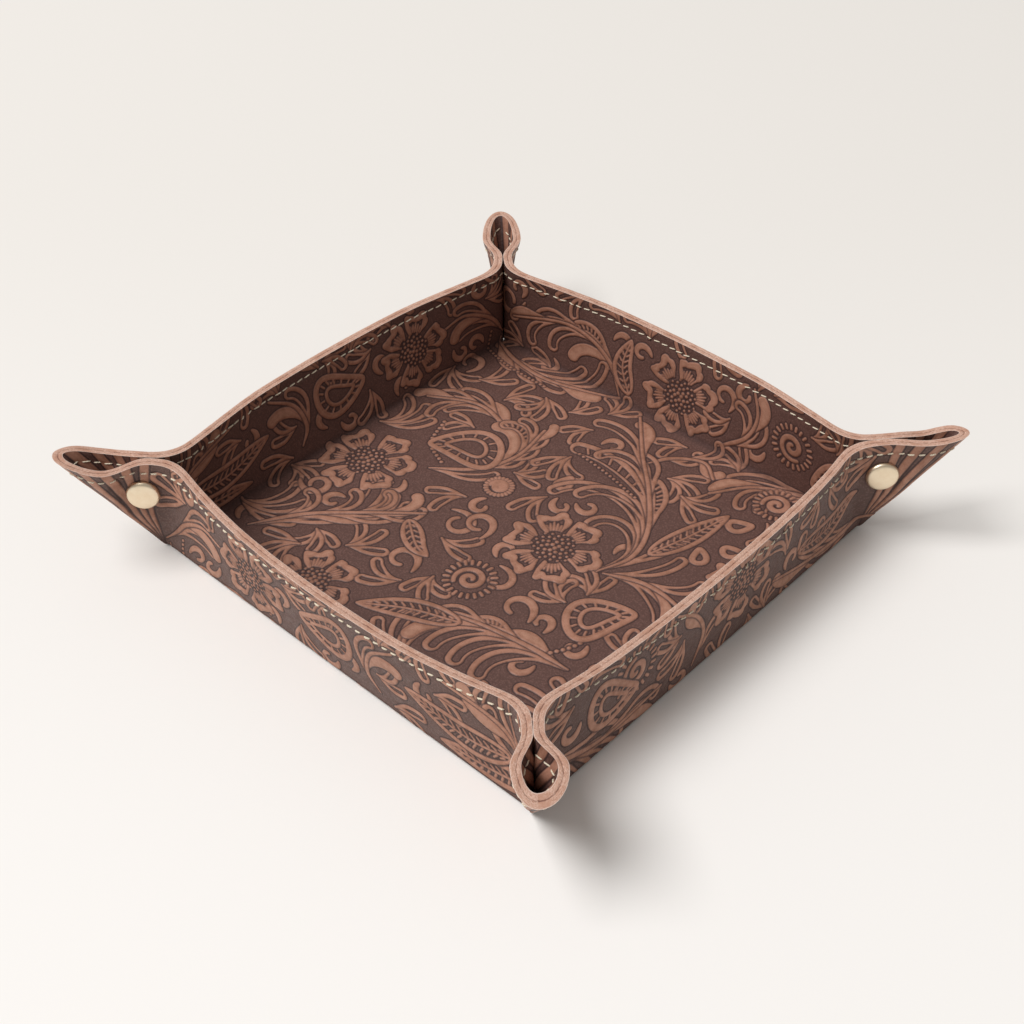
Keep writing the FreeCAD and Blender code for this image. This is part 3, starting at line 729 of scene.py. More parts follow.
def rimLine(wall, depth, s):
    # top edge from the wall's middle to its end, a flat arc that bows outward
    end = cornerPoint(np.float64(tray["pinchBack"] + (rootTwo - 1) * depth), depth, tray["pinchRise"])
    middle = np.array([0, tray["half"] + wall["lean"] - tray["leather"] + depth, tray["wallRise"]])
    chord = end * [0, 1, 1]
    sag = middle - chord
    deep = np.linalg.norm(sag)
    radius = (end[0] ** 2 + deep ** 2) / (2 * deep)
    theta = s * math.atan2(end[0], radius - deep)
    bow = (radius * np.cos(theta) - radius + deep) * (1 - wall["loss"] * ease((s - 0.4) / 0.6))
    line = chord + np.outer(bow, sag / deep)
    line[:, 0] = radius * np.sin(theta)
    return line


def wallGrid(wall, depth):
    # both ears and the wall between them, facing +Y: places and flat-sheet coordinates
    inside = tray["leather"] - depth
    foot = tray["half"] - inside
    s = np.linspace(0, 1, 160)
    high = rimLine(wall, depth, s)
    low = np.stack([s * foot, np.full_like(s, foot), np.full_like(s, inside)], -1)
    pinchTop = tray["pinchBack"] + rootTwo * depth - tray["pinchShift"]
    near, far = tray["pinchRound"]
    places, flatU, flatV = [], [], []
    for h in np.linspace(0, 1, weave["rows"]):
        l0 = depth * (bendShape["toeShare"] + (1 - bendShape["toeShare"]) * ease(h / bendShape["toeRun"]))
        g0 = (1 - h) * -rootTwo * inside + h * pinchTop - l0
        z = inside + (tray["pinchRise"] - inside) * h
        row = low * (1 - h) + high * h
        row = row + np.outer(s ** 6, cornerPoint(np.float64(g0), l0, z) - row[-1])
        halves = []
        for ear in wall["ears"].values():
            pinched = earLine((g0, l0), z, h, depth, loops[ear])
            after = min(bendShape["after"], bendShape["afterShare"] * runOf(pinched)[-1])
            line = np.concatenate([row, pinched[1:]])
            line, run, fold, total = soften(line, len(s) - 1, near + (far - near) * h, after)
            spots = np.concatenate([np.linspace(0, fold, nWall + 1), np.linspace(fold, total, nEar + 1)[1:]])
            halves.append(sampled(spots, run, line))
        u = np.concatenate([np.linspace(0, tray["foldFlat"], nWall + 1),
                            tray["foldFlat"] + np.linspace(0, 1, nEar + 1)[1:] * tray["wallFlat"] * h])
        places.append(np.concatenate([halves[1][:0:-1] * [-1, 1, 1], halves[0]]))
        flatU.append(np.concatenate([-u[:0:-1], u]))
        flatV.append(np.full(2 * len(u) - 1, tray["foldFlat"] + tray["wallFlat"] * h))
    return np.array(places), np.array(flatU), np.array(flatV)


def foldGrid(grid, flatU, flatV, depth):
    # adds rows of the bottom under the wall's own columns and rounds the fold between them
    inside = tray["leather"] - depth
    s = np.clip(flatU[0] / tray["foldFlat"], -1, 1)
    vs = tray["foldFlat"] - weave["foldPitch"] * np.arange(foldRows, 0, -1)
    ys = vs * (tray["half"] - inside) / tray["foldFlat"]
    bottomV = np.repeat(vs[:, None], len(s), 1)
    bottom = np.stack([np.outer(ys, s), np.repeat(ys[:, None], len(s), 1), np.full_like(bottomV, inside)], -1)
    whole = np.concatenate([bottom, grid])
    weights, count = bell(weave["foldRound"][0 if depth == 0 else 1])
    wide = padded(whole, count)
    smooth = sum(weight * wide[k:k + len(whole)] for k, weight in enumerate(weights))
    away = np.abs(np.arange(len(whole)) - foldRows)
    share = (1 - ease(away / (foldRows - 2.0)))[:, None, None]
    whole = whole * (1 - share) + smooth * share
    return whole, np.concatenate([np.outer(vs, s), flatU]), np.concatenate([bottomV, flatV])


def normalsOf(grid):
    return unitOf(np.cross(np.gradient(grid, axis=1), np.gradient(grid, axis=0)))


def turned(points, degrees):
    a = math.radians(degrees)
    spin = np.array([[math.cos(a), -math.sin(a), 0], [math.sin(a), math.cos(a), 0], [0, 0, 1]])
    return points @ spin.T


uvFill = 0.98  # share of its room on the bake that a part of a piece takes up


def gridPiece(name, grids, material, flip=False):
    # one mesh from grids of points in millimetres, each with its uv, its place on the sheet and other values
    faces, first = [], 0
    for grid in grids:
        rows, columns = grid["points"].shape[:2]
        index = first + np.arange(rows * columns).reshape(rows, columns)
        corners = (index[:-1, :-1], index[:-1, 1:], index[1:, 1:], index[1:, :-1])
        faces.append(np.stack(corners, -1).reshape(-1, 4))
        first += rows * columns
    faces = np.concatenate(faces)[:, ::-1 if flip else 1]
    flat = {key: np.concatenate([grid[key].reshape(-1, *value.shape[2:]) for grid in grids])
            for key, value in grids[0].items()}
    mesh = bpy.data.meshes.new(name)
    mesh.vertices.add(first)
    mesh.vertices.foreach_set("co", (flat["points"] * mm).astype(np.float32).ravel())
    mesh.loops.add(faces.size)
    mesh.loops.foreach_set("vertex_index", faces.astype(np.int32).ravel())
    mesh.polygons.add(len(faces))
    mesh.polygons.foreach_set("loop_start", np.arange(0, faces.size, 4, dtype=np.int32))
    mesh.polygons.foreach_set("use_smooth", np.ones(len(faces), bool))
    if "tool" in flat:
        tool = mesh.attributes.new("tool", "FLOAT", "POINT")
        tool.data.foreach_set("value", flat["tool"].astype(np.float32))
    sheet = mesh.attributes.new("sheet", "FLOAT_VECTOR", "POINT")
    sheet.data.foreach_set("vector", flat["sheet"].astype(np.float32).ravel())
    uv = mesh.uv_layers.new(name="OFBake")
    uv.data.foreach_set("uv", flat["uv"][faces.ravel()].astype(np.float32).ravel())
    mesh.update()
    mesh.validate()
    if "normals" in flat:
        mesh.normals_split_custom_set_from_vertices(flat["normals"].tolist())
    mesh.materials.append(material)
    piece = bpy.data.objects.new(name, mesh)
    bpy.context.scene.collection.objects.link(piece)
    return piece


def skinPiece(name, skin, parts, material):
    # one or more row and column ranges of a dressed skin, as one piece
    wide, shift, grids = sum(c1 - c0 for r0, r1, c0, c1 in parts), 0, []
    for r0, r1, c0, c1 in parts:
        grid = {key: skin[key][r0:r1 + 1, c0:c1 + 1] for key in ("points", "normals", "sheet", "tool")}
        across = (shift + np.arange(c1 - c0 + 1) * uvFill) / wide
        grid["uv"] = np.stack(np.meshgrid(across, np.linspace(0, 1, r1 - r0 + 1)), -1)
        grids.append(grid)
        shift += c1 - c0
    return gridPiece(name, grids, material, skin["outside"])


# finishes

leatherLook = {
    "tan": ("92644f", "b3806b"),
    "worn": "bb8d77",
    "ground": ("5f433c", "72524a"),
    "line": "362525",
    "rough": (0.44, 0.62),
    "gloss": 0.36,
}
outerLook = dict(leatherLook, tan=("a0705a", "c28f78"), ground=("634a43", "775b53"))
edgeLook = {"pale": "e9c8b6", "deep": "b5836d", "shade": "c1927c", "speck": "8a5d4c",
            "line": "6b453a", "fuzz": "efdfd4"}
threadLook = {"pale": "ece0cb", "shade": "cfc0a6", "fuzz": "cdbfa6"}
brassLook = {"bright": "f3e2c7", "dull": "efdcbf", "rough": 0.36}
steelLook = {"bright": "c9c9c6", "dull": "a3a3a0", "rough": 0.28}


def finishNodes(name):
    # new material, a function that adds a node and gives one of its outputs, and one that feeds the shader
    material = bpy.data.materials.new(name)
    material.use_nodes = True
    tree = material.node_tree
    shader = tree.nodes["Principled BSDF"]

    def feed(node, values):
        for target, value in values.items():
            if isinstance(value, bpy.types.NodeSocket):
                tree.links.new(value, node.inputs[target])
            else:
                node.inputs[target].default_value = tone(value) if isinstance(value, str) else value

    def put(kind, values, output=0, **settings):
        node = tree.nodes.new("ShaderNode" + kind)
        for key, value in settings.items():
            setattr(node, key, value)
        feed(node, values)
        return node.outputs[output]

    def dress(values):
        feed(shader, values)

    return material, put, dress


def calc(put, operation, *values):
    return put("Math", dict(enumerate(values)), operation=operation)


def rangeOf(put, value, a, b, low=0.0, high=1.0):
    return put("MapRange", {0: value, 1: a, 2: b, 3: low, 4: high}, interpolation_type="SMOOTHSTEP")


def mixTone(put, amount, first, second):
    return put("Mix", {0: amount, 6: first, 7: second}, 2, data_type="RGBA")


def noise(put, place, scale, detail, rough=0.5):
    return put("TexNoise", {0: place, 2: scale, 3: detail, 4: rough})


def bumpOf(put, height, strength, distance):
    return put("Bump", {"Height": height, "Strength": strength, "Distance": distance})


def sheetOf(put):
    return put("Attribute", {}, "Vector", attribute_name="sheet")


def toolOf(put):
    return put("Attribute", {}, "Fac", attribute_name="tool")


def leatherFinish(name, look):
    # tan ribbons on a stamped dark ground, with a dark line round them and a dull crease along the fold
    material, put, dress = finishNodes(name)
    sheet, tool = sheetOf(put), toolOf(put)
    broad = noise(put, sheet, 0.05, 4.0, 0.55)
    cloudy = noise(put, sheet, 0.32, 5.0, 0.6)
    grain = noise(put, sheet, 2.6, 4.0, 0.6)
    pits = put("TexVoronoi", {0: sheet, 2: 1.25})
    raised = rangeOf(put, tool, 0.32, -0.22)
    tan = mixTone(put, rangeOf(put, calc(put, "ADD", broad, cloudy), 0.7, 1.3), *look["tan"])
    tan = mixTone(put, calc(put, "MULTIPLY", rangeOf(put, tool, -0.5, -1.7), cloudy), tan, look["worn"])
    ground = mixTone(put, rangeOf(put, pits, 0.1, 0.62), *look["ground"][::-1])
    colour = mixTone(put, raised, ground, tan)
    offLine = calc(put, "ABSOLUTE", calc(put, "SUBTRACT", tool, relief["grooveAt"]))
    colour = mixTone(put, rangeOf(put, offLine, 0.42, 0.05, 0.0, 0.75), colour, look["line"])
    colour = mixTone(put, rangeOf(put, grain, 0.35, 0.75, 0.0, 0.22), colour, look["line"])
    far = [calc(put, "ABSOLUTE", put("SeparateXYZ", {0: sheet}, k)) for k in (0, 1)]
    crease = calc(put, "ABSOLUTE", calc(put, "SUBTRACT", calc(put, "MAXIMUM", *far), tray["foldFlat"]))
    colour = mixTone(put, rangeOf(put, crease, 2.6, 0.2, 0.0, 0.45), colour, look["line"])
    rough = rangeOf(put, cloudy, 0.3, 0.7, *look["rough"][::-1])
    rough = calc(put, "ADD", rough, rangeOf(put, crease, 4.0, 0.8, 0.0, 0.4))
    stamp = calc(put, "MULTIPLY", pits, calc(put, "SUBTRACT", 1.0, raised))
    height = calc(put, "SUBTRACT", grain, stamp)
    dress({"Base Color": colour, "Roughness": rough, "Specular IOR Level": look["gloss"],
           "Normal": bumpOf(put, height, 0.4, 0.00022)})
    return material


def edgeFinish():
    # raw cut edge: fibres, with the dark glue line between the two layers
    material, put, dress = finishNodes("raw_edge")
    sheet, across = sheetOf(put), toolOf(put)
    combed = put("VectorMath", {0: sheet, 1: (0.45, 1.6, 1.0)}, operation="MULTIPLY")
    wobble = noise(put, sheet, 0.5, 3.0, 0.6)
    fibre = noise(put, combed, 2.4, 5.0, 0.75)
    specks = noise(put, sheet, 1.7, 3.0, 0.6)
    patchy = noise(put, sheet, 0.16, 4.0, 0.65)
    colour = mixTone(put, rangeOf(put, fibre, 0.32, 0.68), edgeLook["deep"], edgeLook["pale"])
    colour = mixTone(put, rangeOf(put, patchy, 0.42, 0.62, 0.0, 0.8), colour, edgeLook["shade"])
    colour = mixTone(put, rangeOf(put, specks, 0.6, 0.72, 0.0, 0.6), colour, edgeLook["speck"])
    offLine = calc(put, "ADD", across, calc(put, "MULTIPLY_ADD", wobble, 0.26, -0.63))
    line = rangeOf(put, calc(put, "ABSOLUTE", offLine), 0.08, 0.015)
    faint = calc(put, "MULTIPLY", line, rangeOf(put, patchy, 0.3, 0.7, 0.2, 0.85))
    colour = mixTone(put, faint, colour, edgeLook["line"])
    border = calc(put, "ABSOLUTE", calc(put, "SUBTRACT", across, 0.5))
    colour = mixTone(put, rangeOf(put, border, 0.42, 0.49, 0.0, 0.6), colour, edgeLook["fuzz"])
    dress({"Base Color": colour, "Roughness": 0.85, "Specular IOR Level": 0.2,
           "Normal": bumpOf(put, fibre, 0.8, 0.0004)})
    return material


def threadFinish():
    material, put, dress = finishNodes("waxed_thread")
    sheet = sheetOf(put)
    twist = put("TexWave", {0: sheet, 1: 0.62, 2: 0.6, 3: 2.0}, 1, bands_direction="DIAGONAL")
    fuzz = noise(put, sheet, 2.0, 4.0)
    colour = mixTone(put, rangeOf(put, twist, 0.1, 0.7), threadLook["shade"], threadLook["pale"])
    colour = mixTone(put, rangeOf(put, fuzz, 0.45, 0.8, 0.0, 0.4), colour, threadLook["fuzz"])
    dress({"Base Color": colour, "Roughness": 0.6, "Normal": bumpOf(put, twist, 0.45, 0.00015)})
    return material


def metalFinish(name, look):
    material, put, dress = finishNodes(name)
    place = put("TexCoord", {}, "Object")
    cloud = noise(put, place, 260.0, 4.0, 0.6)
    fine = noise(put, place, 2600.0, 3.0, 0.6)
    dress({"Base Color": mixTone(put, rangeOf(put, cloud, 0.35, 0.7), look["bright"], look["dull"]),
           "Roughness": rangeOf(put, cloud, 0.3, 0.75, look["rough"], look["rough"] + 0.06),
           "Metallic": 1.0, "Normal": bumpOf(put, fine, 0.12, 0.00008)})
    return material


leathers = {"inner": leatherFinish("inner_tooled_leather", leatherLook),
            "outer": leatherFinish("outer_tooled_leather", outerLook)}
rawEdge = edgeFinish()
waxedThread = threadFinish()
capBrass = metalFinish("satin_snap_brass", brassLook)
ringSteel = metalFinish("spring_wire", steelLook)
print("finishes made")


# dressed skins of each wall with its two ear halves

snapBed = {  # distances from the snap's axis, each with the run over which it fades
    "flat": (6.6, 3.0),  # leather pressed flat under cap and eyelet
    "even": (6.2, 1.3),  # no tooling under them
    "sink": 0.05,
}
# the tooling is low along the folds and round the toes
foldBed = {"shift": 0.5, "even": (2.0, 6.0), "least": 0.3, "toe": (1.0, 4.0), "toeLeast": 0.2}


def dressSkin(name, layer):
    outside = layer == "outer"
    turn = walls[name]["turn"]
    depth = tray["leather"] if outside else 0.0
    grid, u, v = foldGrid(*wallGrid(walls[name], depth), depth)
    sign = -1.0 if outside else 1.0
    g = (np.abs(grid[..., 0]) + grid[..., 1] - 2 * tray["half"]) / rootTwo
    l = (grid[..., 1] - np.abs(grid[..., 0])) / rootTwo
    fromSnap = np.hypot(g - tray["snapReach"], grid[..., 2] - tray["snapRise"])
    if outside:
        start, run = snapBed["flat"]
        push = np.clip(l - tray["leather"] - snapBed["sink"], 0, None) * (1 - ease((fromSnap - start) / run))
        grid[..., 0] += np.sign(grid[..., 0]) * push / rootTwo
        grid[..., 1] -= push / rootTwo
    sheet = turned(np.stack([u, v, np.zeros_like(u)], -1), turn)
    tool = toolAt(sheet[..., 0], sheet[..., 1], outside)
    short, run = relief["rimEven"]
    lift = (reliefOf(tool) - relief["sink"]) * (1 - ease((v - rimFlat + short) / run))
    lift -= relief["seamDip"] * np.exp(-((v - rimFlat + seam["inset"]) / relief["seamWide"]) ** 2)
    if outside:
        start, run = foldBed["even"]
        fromFold = np.abs(v - tray["foldFlat"] + foldBed["shift"])
        lift = lift * (foldBed["least"] + (1 - foldBed["least"]) * ease((fromFold - start) / run))
        start, run = snapBed["even"]
        lift = np.where(fromSnap < start + run, lift * ease((fromSnap - start) / run) - snapBed["sink"], lift)
        lift = np.maximum(lift, -grid[..., 2])
    else:
        start, run = foldBed["toe"]
        fromToe = np.hypot(np.abs(u) - tray["foldFlat"], v - tray["foldFlat"])
        lift = np.minimum(lift, np.maximum(l - 0.04, -0.3))  # the halves of an ear don't cross
        lift *= foldBed["toeLeast"] + (1 - foldBed["toeLeast"]) * ease((fromToe - start) / run)
        lift -= tray["seatDeep"] * (1 - ease((fromSnap - tray["seatWide"]) / 0.4)) * (l < 2.0)
    facing = normalsOf(grid) * sign
    points = grid + facing * lift[..., None]
    points[..., 2] = np.maximum(points[..., 2], 0.0)
    return {"facing": turned(facing, turn), "points": turned(points, turn),
            "normals": turned(normalsOf(points) * sign, turn), "sheet": sheet, "tool": tool,
            "outside": outside, "l": l}


foldEnds = ((0.0, 89.0, 1.8), (0.0, 94.0, 6.0))  # from where to where the leather turns up
pinchBend = {"middle": (-5.0, 1.7, 20.0), "half": 5.0}  # where it turns into an ear, and half its way


def settle(piece, slot, node=None):
    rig.slot(piece, slot)
    if node:
        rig.replaces(piece, node)


def onFold(piece, name, slot):
    ends = [turned(np.array(place), walls[name]["turn"]) * mm for place in foldEnds]
    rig.blend(piece, "base", name + "_wall", *ends)
    settle(piece, slot)


def onWall(piece, name, slot, node=None):
    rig.ride(piece, name + "_wall")
    settle(piece, slot, node)


def onEar(piece, ear, slot, node=None):
    name, side = earPlace[ear]
    g, l, z = pinchBend["middle"]
    lead = unitOf(np.array([1 + 1 / rootTwo, 1 / rootTwo, 0])) * pinchBend["half"]
    middle = cornerPoint(np.float64(g), l, z)
    turn = walls[name]["turn"]
    ends = [turned(place * [side, 1, 1], turn) * mm for place in (middle - lead, middle + lead)]
    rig.blend(piece, name + "_wall", ear, *ends)
    settle(piece, slot, node)


skins = {}
for name, wall in walls.items():
    for layer, finish in leathers.items():
        skin = skins[name, layer] = dressSkin(name, layer)
        ending = "_%s_leather" % layer
        slot = layer + "_leather"
        onFold(skinPiece(name + "_fold" + ending, skin, [(0, foldTop, fold0, fold1)], finish), name, slot)
        between = (foldTop, lastRow, fold0 + earCut, fold1 - earCut)
        piece = skinPiece(name + "_wall" + ending, skin, [between], finish)
        onWall(piece, name, slot, name + "_wall_" + layer)
        for side, ear in wall["ears"].items():
            fold, c0, c1 = earColumnsOf[side]
            foot = (foldRows, foldTop, fold, c1) if side > 0 else (foldRows, foldTop, c0, fold)
            piece = skinPiece(ear + ending, skin, [(foldTop, lastRow, c0, c1), foot], finish)
            onEar(piece, ear, slot, ear + "_" + layer)
print("walls and ears dressed")


# bottom

flatReach = tray["foldFlat"] - weave["foldPitch"] * foldRows
for layer, finish in leathers.items():
    outside = layer == "outer"
    half = tray["half"] if outside else tray["half"] - tray["leather"]
    scale = tray["foldFlat"] / half
    across = np.linspace(-flatReach / scale, flatReach / scale, 2 * nWall + 1)
    x, y = np.meshgrid(across, across)
    tool = toolAt(x * scale, y * scale, outside)
    lift = reliefOf(tool) - relief["sink"]
    points = np.stack([x, y, np.maximum(-lift, 0.0) if outside else tray["leather"] + lift], -1)
    skin = {"points": points, "normals": normalsOf(points) * (-1 if outside else 1), "tool": tool,
            "sheet": np.stack([x * scale, y * scale, 0 * x], -1), "outside": outside}
    for k in range(4):  # quarters
        r0, c0 = k // 2 * nWall, k % 2 * nWall
        quarter = [(r0, r0 + nWall, c0, c0 + nWall)]
        piece = skinPiece("bottom_%s_leather_%d" % (layer, k + 1), skin, quarter, finish)
        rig.ride(piece, "base")
        settle(piece, layer + "_leather", "base_" + layer)
print("bottom dressed")


# linings: the cut face of each ear's nose, with a lip that closes the slit in the open tray, a web at each
# toe, and a hidden shell between the layers of each bottom corner

noseShape = {
    "depth": 0.9,
    "lip": (0.7, 1.6),  # reach at the toe, and how much more at the rim
    "columns": 60,
    "faceSteps": 7,
    "lipSteps": 8,
}
liningShape = {"depth": 0.7, "rows": 5, "columns": 26, "toeRows": 6, "toeDepth": 0.85}


def within(ear, rows, first, last, depth):
    # points between the two skins, columns counted from the nose backwards
    name, side = earPlace[ear]
    columns = np.arange(first, last + 1)
    columns = lastColumn - columns if side > 0 else columns
    inner, outer = (skins[name, layer]["points"][rows][:, columns] for layer in ("inner", "outer"))
    return inner + (outer - inner) * depth


def liningPiece(pieceName, parts):
    # plain dark leather from a few grids of points
    grids = []
    for k, points in enumerate(parts):
        rows, columns = points.shape[:2]
        across, up = np.meshgrid(np.linspace(0, uvFill, columns), np.linspace(0, 1, rows))
        grids.append({"points": points, "tool": np.full((rows, columns), tooling["plain"]),
                      "sheet": np.stack([across * 4 + 8 * k, up * 50, 0 * up], -1),
                      "uv": np.stack([(across + k) / len(parts), up], -1)})
    return gridPiece(pieceName, grids, leathers["inner"])


def noseGrids(ear, other, turn):
    rows = np.s_[foldRows:lastRow]
    face = np.concatenate([within(ear, rows, 0, 0, q) for q in np.linspace(0, 1, noseShape["faceSteps"])], 1)
    inside = within(other, rows, 0, noseShape["columns"], noseShape["depth"])
    over = turned(np.array([1, -1, 0]) / rootTwo * earPlace[ear][1], turn)
    least, more = noseShape["lip"]
    lip = []
    for k, line in enumerate(inside):
        spots = np.linspace(0, least + more * k / len(inside), noseShape["lipSteps"])
        bent = sampled(spots, runOf(line), line)
        lip.append((bent + line[0] + np.outer(spots, over)) / 2)  # half as bent as the leather round it
    return [face, np.array(lip)]


for corner, snap in sorted(snaps.items(), key=lambda item: item[1]["turn"]):
    shell = []
    for ear, other in ((snap["cap"], snap["eyelet"]), (snap["eyelet"], snap["cap"])):
        onEar(liningPiece(ear + "_nose_core", noseGrids(ear, other, snap["turn"])), ear, "inner_leather")
        rows = np.s_[:foldRows + liningShape["rows"]]
        shell.append(within(ear, rows, nEar, nEar + liningShape["columns"], liningShape["depth"]))
        rows = np.s_[foldRows:foldRows + liningShape["toeRows"]]
        web = [within(ear, rows, 0, nEar, liningShape["toeDepth"]),
               within(other, rows, 0, noseShape["columns"], liningShape["toeDepth"])]
        onFold(liningPiece(ear + "_toe_web", web), earPlace[ear][0], "inner_leather")
        shell.append(web[0])
    piece = liningPiece(corner + "_corner_lining", shell)
    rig.ride(piece, "base")
    settle(piece, "inner_leather")
print("noses and corners lined")


# raw edge along the rim

edgeShape = {"bulge": 0.12, "dip": 0.11, "dipWide": 0.06, "fuzz": 0.1, "steps": 17, "below": 4, "seed": 7}


def edgePiece(name, c0, c1, pieceName):
    inner, outer = (skins[name, layer]["points"][:, c0:c1 + 1] for layer in ("inner", "outer"))
    q = np.linspace(0, 1, edgeShape["steps"])
    a, b, below = inner[lastRow], outer[lastRow], lastRow - edgeShape["below"]
    up = unitOf((a - inner[below]) + (b - outer[below]))
    pillow = edgeShape["bulge"] * np.abs(np.sin(2 * math.pi * q)) ** 0.7
    pillow -= edgeShape["dip"] * np.exp(-((q - 0.5) / edgeShape["dipWide"]) ** 2)
    run = runOf((a + b) / 2)
    rough = np.random.default_rng(edgeShape["seed"] + c0).normal(0, 1, (len(q), len(run)))
    rough = (rough + np.roll(rough, 1, 1) + np.roll(rough, 2, 1) + np.roll(rough, 1, 0)) / 4
    rough[0], rough[-1] = 0, 0
    points = a[None] + (b - a)[None] * q[:, None, None]
    points = points + up[None] * (pillow[:, None] + edgeShape["fuzz"] * rough)[..., None]
    alongRun, across = np.meshgrid(run, q)
    grid = {"points": points, "tool": across, "uv": np.stack([alongRun / run[-1], across], -1),
            "sheet": np.stack([alongRun, across * tray["leather"], 0 * alongRun], -1)}
    return gridPiece(pieceName, [grid], rawEdge)


for name, wall in walls.items():
    onWall(edgePiece(name, fold0 + earCut, fold1 - earCut, name + "_wall_raw_edge"), name, "outer_leather")
    for side, ear in wall["ears"].items():
        onEar(edgePiece(name, *earColumnsOf[side][1:], ear + "_raw_edge"), ear, "outer_leather")
print("edges cut")


# seam stitches on both faces

stitchShape = {"steps": 11, "bow": (0.17, 0.5), "uvRoom": 0.05, "endRooms": (1.6, 1.4), "pinchRoom": 0.7}


def stitchGrid(place, along, facing, visible, thread):
    # short bowed strand, its ends sunk into their holes
    a = np.linspace(-1, 1, stitchShape["steps"])
    b = np.linspace(0, 2 * math.pi, stitchShape["steps"])
    along = along * math.cos(seam["slant"]) + np.cross(facing, along) * math.sin(seam["slant"])
    across = np.cross(facing, along)
    radius = thread * np.sqrt(np.clip(1 - np.abs(a) ** 4, 0.02, 1))
    rise, sink = stitchShape["bow"]
    centre = place + np.outer(a * visible / 2, along) + np.outer(rise - sink * a ** 6, facing)
    ring = np.outer(np.cos(b), across) + np.outer(np.sin(b), facing)
    lengthways, around = np.meshgrid(a * visible / 2, b * thread, indexing="ij")
    return {"points": centre[:, None] + ring[None] * radius[:, None, None],
            "sheet": np.stack([lengthways, around, 0 * around], -1),
            "uv": np.stack([lengthways / visible + 0.5, around / around.max()], -1)}


def stitchPiece(spots, pieceName):
    row = math.ceil(math.sqrt(len(spots)))
    grids = []
    for k, spot in enumerate(spots):
        grid = stitchGrid(*spot)
        grid["sheet"][..., 0] += 10 * k
        room = stitchShape["uvRoom"]
        grid["uv"] = (np.array([k % row, k // row]) + room + (1 - 2 * room) * grid["uv"]) / row
        grids.append(grid)
    return gridPiece(pieceName, grids, waxedThread)


def seamSpots(name, layer):
    # stitch places along the seam row, evenly pitched from the wall's middle, each after its column
    skin = skins[name, layer]
    high = foldRows + (1 - seam["inset"] / tray["wallFlat"]) * (weave["rows"] - 1)
    r = int(high)
    mix = high - r
    line = skin["points"][r] * (1 - mix) + skin["points"][r + 1] * mix
    facing = skin["facing"][r]
    run = runOf(line)
    middle = run[nEar + nWall]
    offset = 0.0 if layer == "inner" else seam["pitch"] / 2
    firstRoom, lastRoom = stitchShape["endRooms"]
    count = int((run[-1] - middle - firstRoom) / seam["pitch"])
    found = []
    for k in range(-count, count + 1):
        at = middle + offset + k * seam["pitch"]
        if at > run[-1] - lastRoom:
            continue
        c = int(np.clip(np.searchsorted(run, at), 1, len(run) - 1))
        if layer == "inner" and skin["l"][r, c] < stitchShape["pinchRoom"]:
            continue
        along = unitOf(line[c] - line[c - 1])
        found.append((c, line[c], along, unitOf(facing[c] - along * facing[c].dot(along)), *seam[layer]))
    return found


for name, wall in walls.items():
    found = seamSpots(name, "inner") + seamSpots(name, "outer")
    spots = [spot for c, *spot in found if fold0 + earCut <= c <= fold1 - earCut]
    onWall(stitchPiece(spots, name + "_wall_stitches"), name, "cream_thread", name + "_wall_thread")
    for side, ear in wall["ears"].items():
        fold, c0, c1 = earColumnsOf[side]
        spots = [spot for c, *spot in found if (c > c0 if side > 0 else c < c1)]
        onEar(stitchPiece(spots, ear + "_stitches"), ear, "cream_thread", ear + "_thread")
print("seam stitched")


# snaps: caps and eyelets are turned, the rest stays as built

capShape = [  # distance from the axis, height from the diagonal plane
    (5.4, 3.55), (6.0, 3.58), (6.2, 3.7), (6.27, 3.95), (6.26, 4.2), (6.18, 4.5), (6.02, 4.8), (5.76, 5.08),
    (5.4, 5.3), (4.9, 5.47), (4.2, 5.62), (3.3, 5.77), (2.3, 5.89), (1.2, 5.98), (0.02, 6.02),
]
eyeletShape = [
    (3.9, 3.55), (4.55, 3.62), (4.72, 3.75), (4.74, 3.9), (4.6, 4.06), (4.2, 4.24), (3.6, 4.44), (2.9, 4.54),
    (2.4, 4.48), (2.15, 4.2), (2.05, 3.6), (2.0, 2.6), (1.9, 1.9), (0.02, 1.85),
]
turnSteps = {"round": 72, "between": 3}  # facets round the axis, and between two points of a shape


def turnedPiece(pieceName, shape, turn, side):
    # spun round the snap's axis, which crosses the ear at right angles
    a = np.linspace(0, 2 * math.pi, turnSteps["round"] + 1)
    shape = np.array(shape)
    steps = turnSteps["between"]
    fine = sampled(np.arange(steps * (len(shape) - 1) + 1) / steps, np.arange(len(shape)), shape)
    out = np.array([-side, side, 0]) / rootTwo  # away from the diagonal plane
    flat = np.array([1, 1, 0]) / rootTwo
    centre = cornerPoint(np.float64(tray["snapReach"]), 0.0, tray["snapRise"])
    ring = np.outer(np.cos(a), flat) + np.outer(np.sin(a), [0, 0, 1])
    points = turned(centre + fine[:, None, :1] * ring[None] + fine[:, None, 1:] * out, turn)
    run = runOf(fine)
    uv = np.stack(np.meshgrid(a / (2 * math.pi), run / run[-1]), -1)
    return gridPiece(pieceName, [{"points": points, "sheet": points, "uv": uv}], capBrass, side < 0)


for corner, snap in snaps.items():
    for kind, shape in (("cap", capShape), ("eyelet", eyeletShape)):
        ear = snap[kind]
        piece = turnedPiece(corner + "_turned_" + kind, shape, snap["turn"], earPlace[ear][1])
        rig.ride(piece, ear)
        settle(piece, "snap_brass", corner + "_" + kind)
    for kind, finish in (("socket", capBrass), ("stud", capBrass), ("spring", ringSteel)):
        node = frame["nodes"][corner + "_" + kind]
        node.data.materials.clear()
        node.data.materials.append(finish)
print("snaps turned")


# floor, light and camera

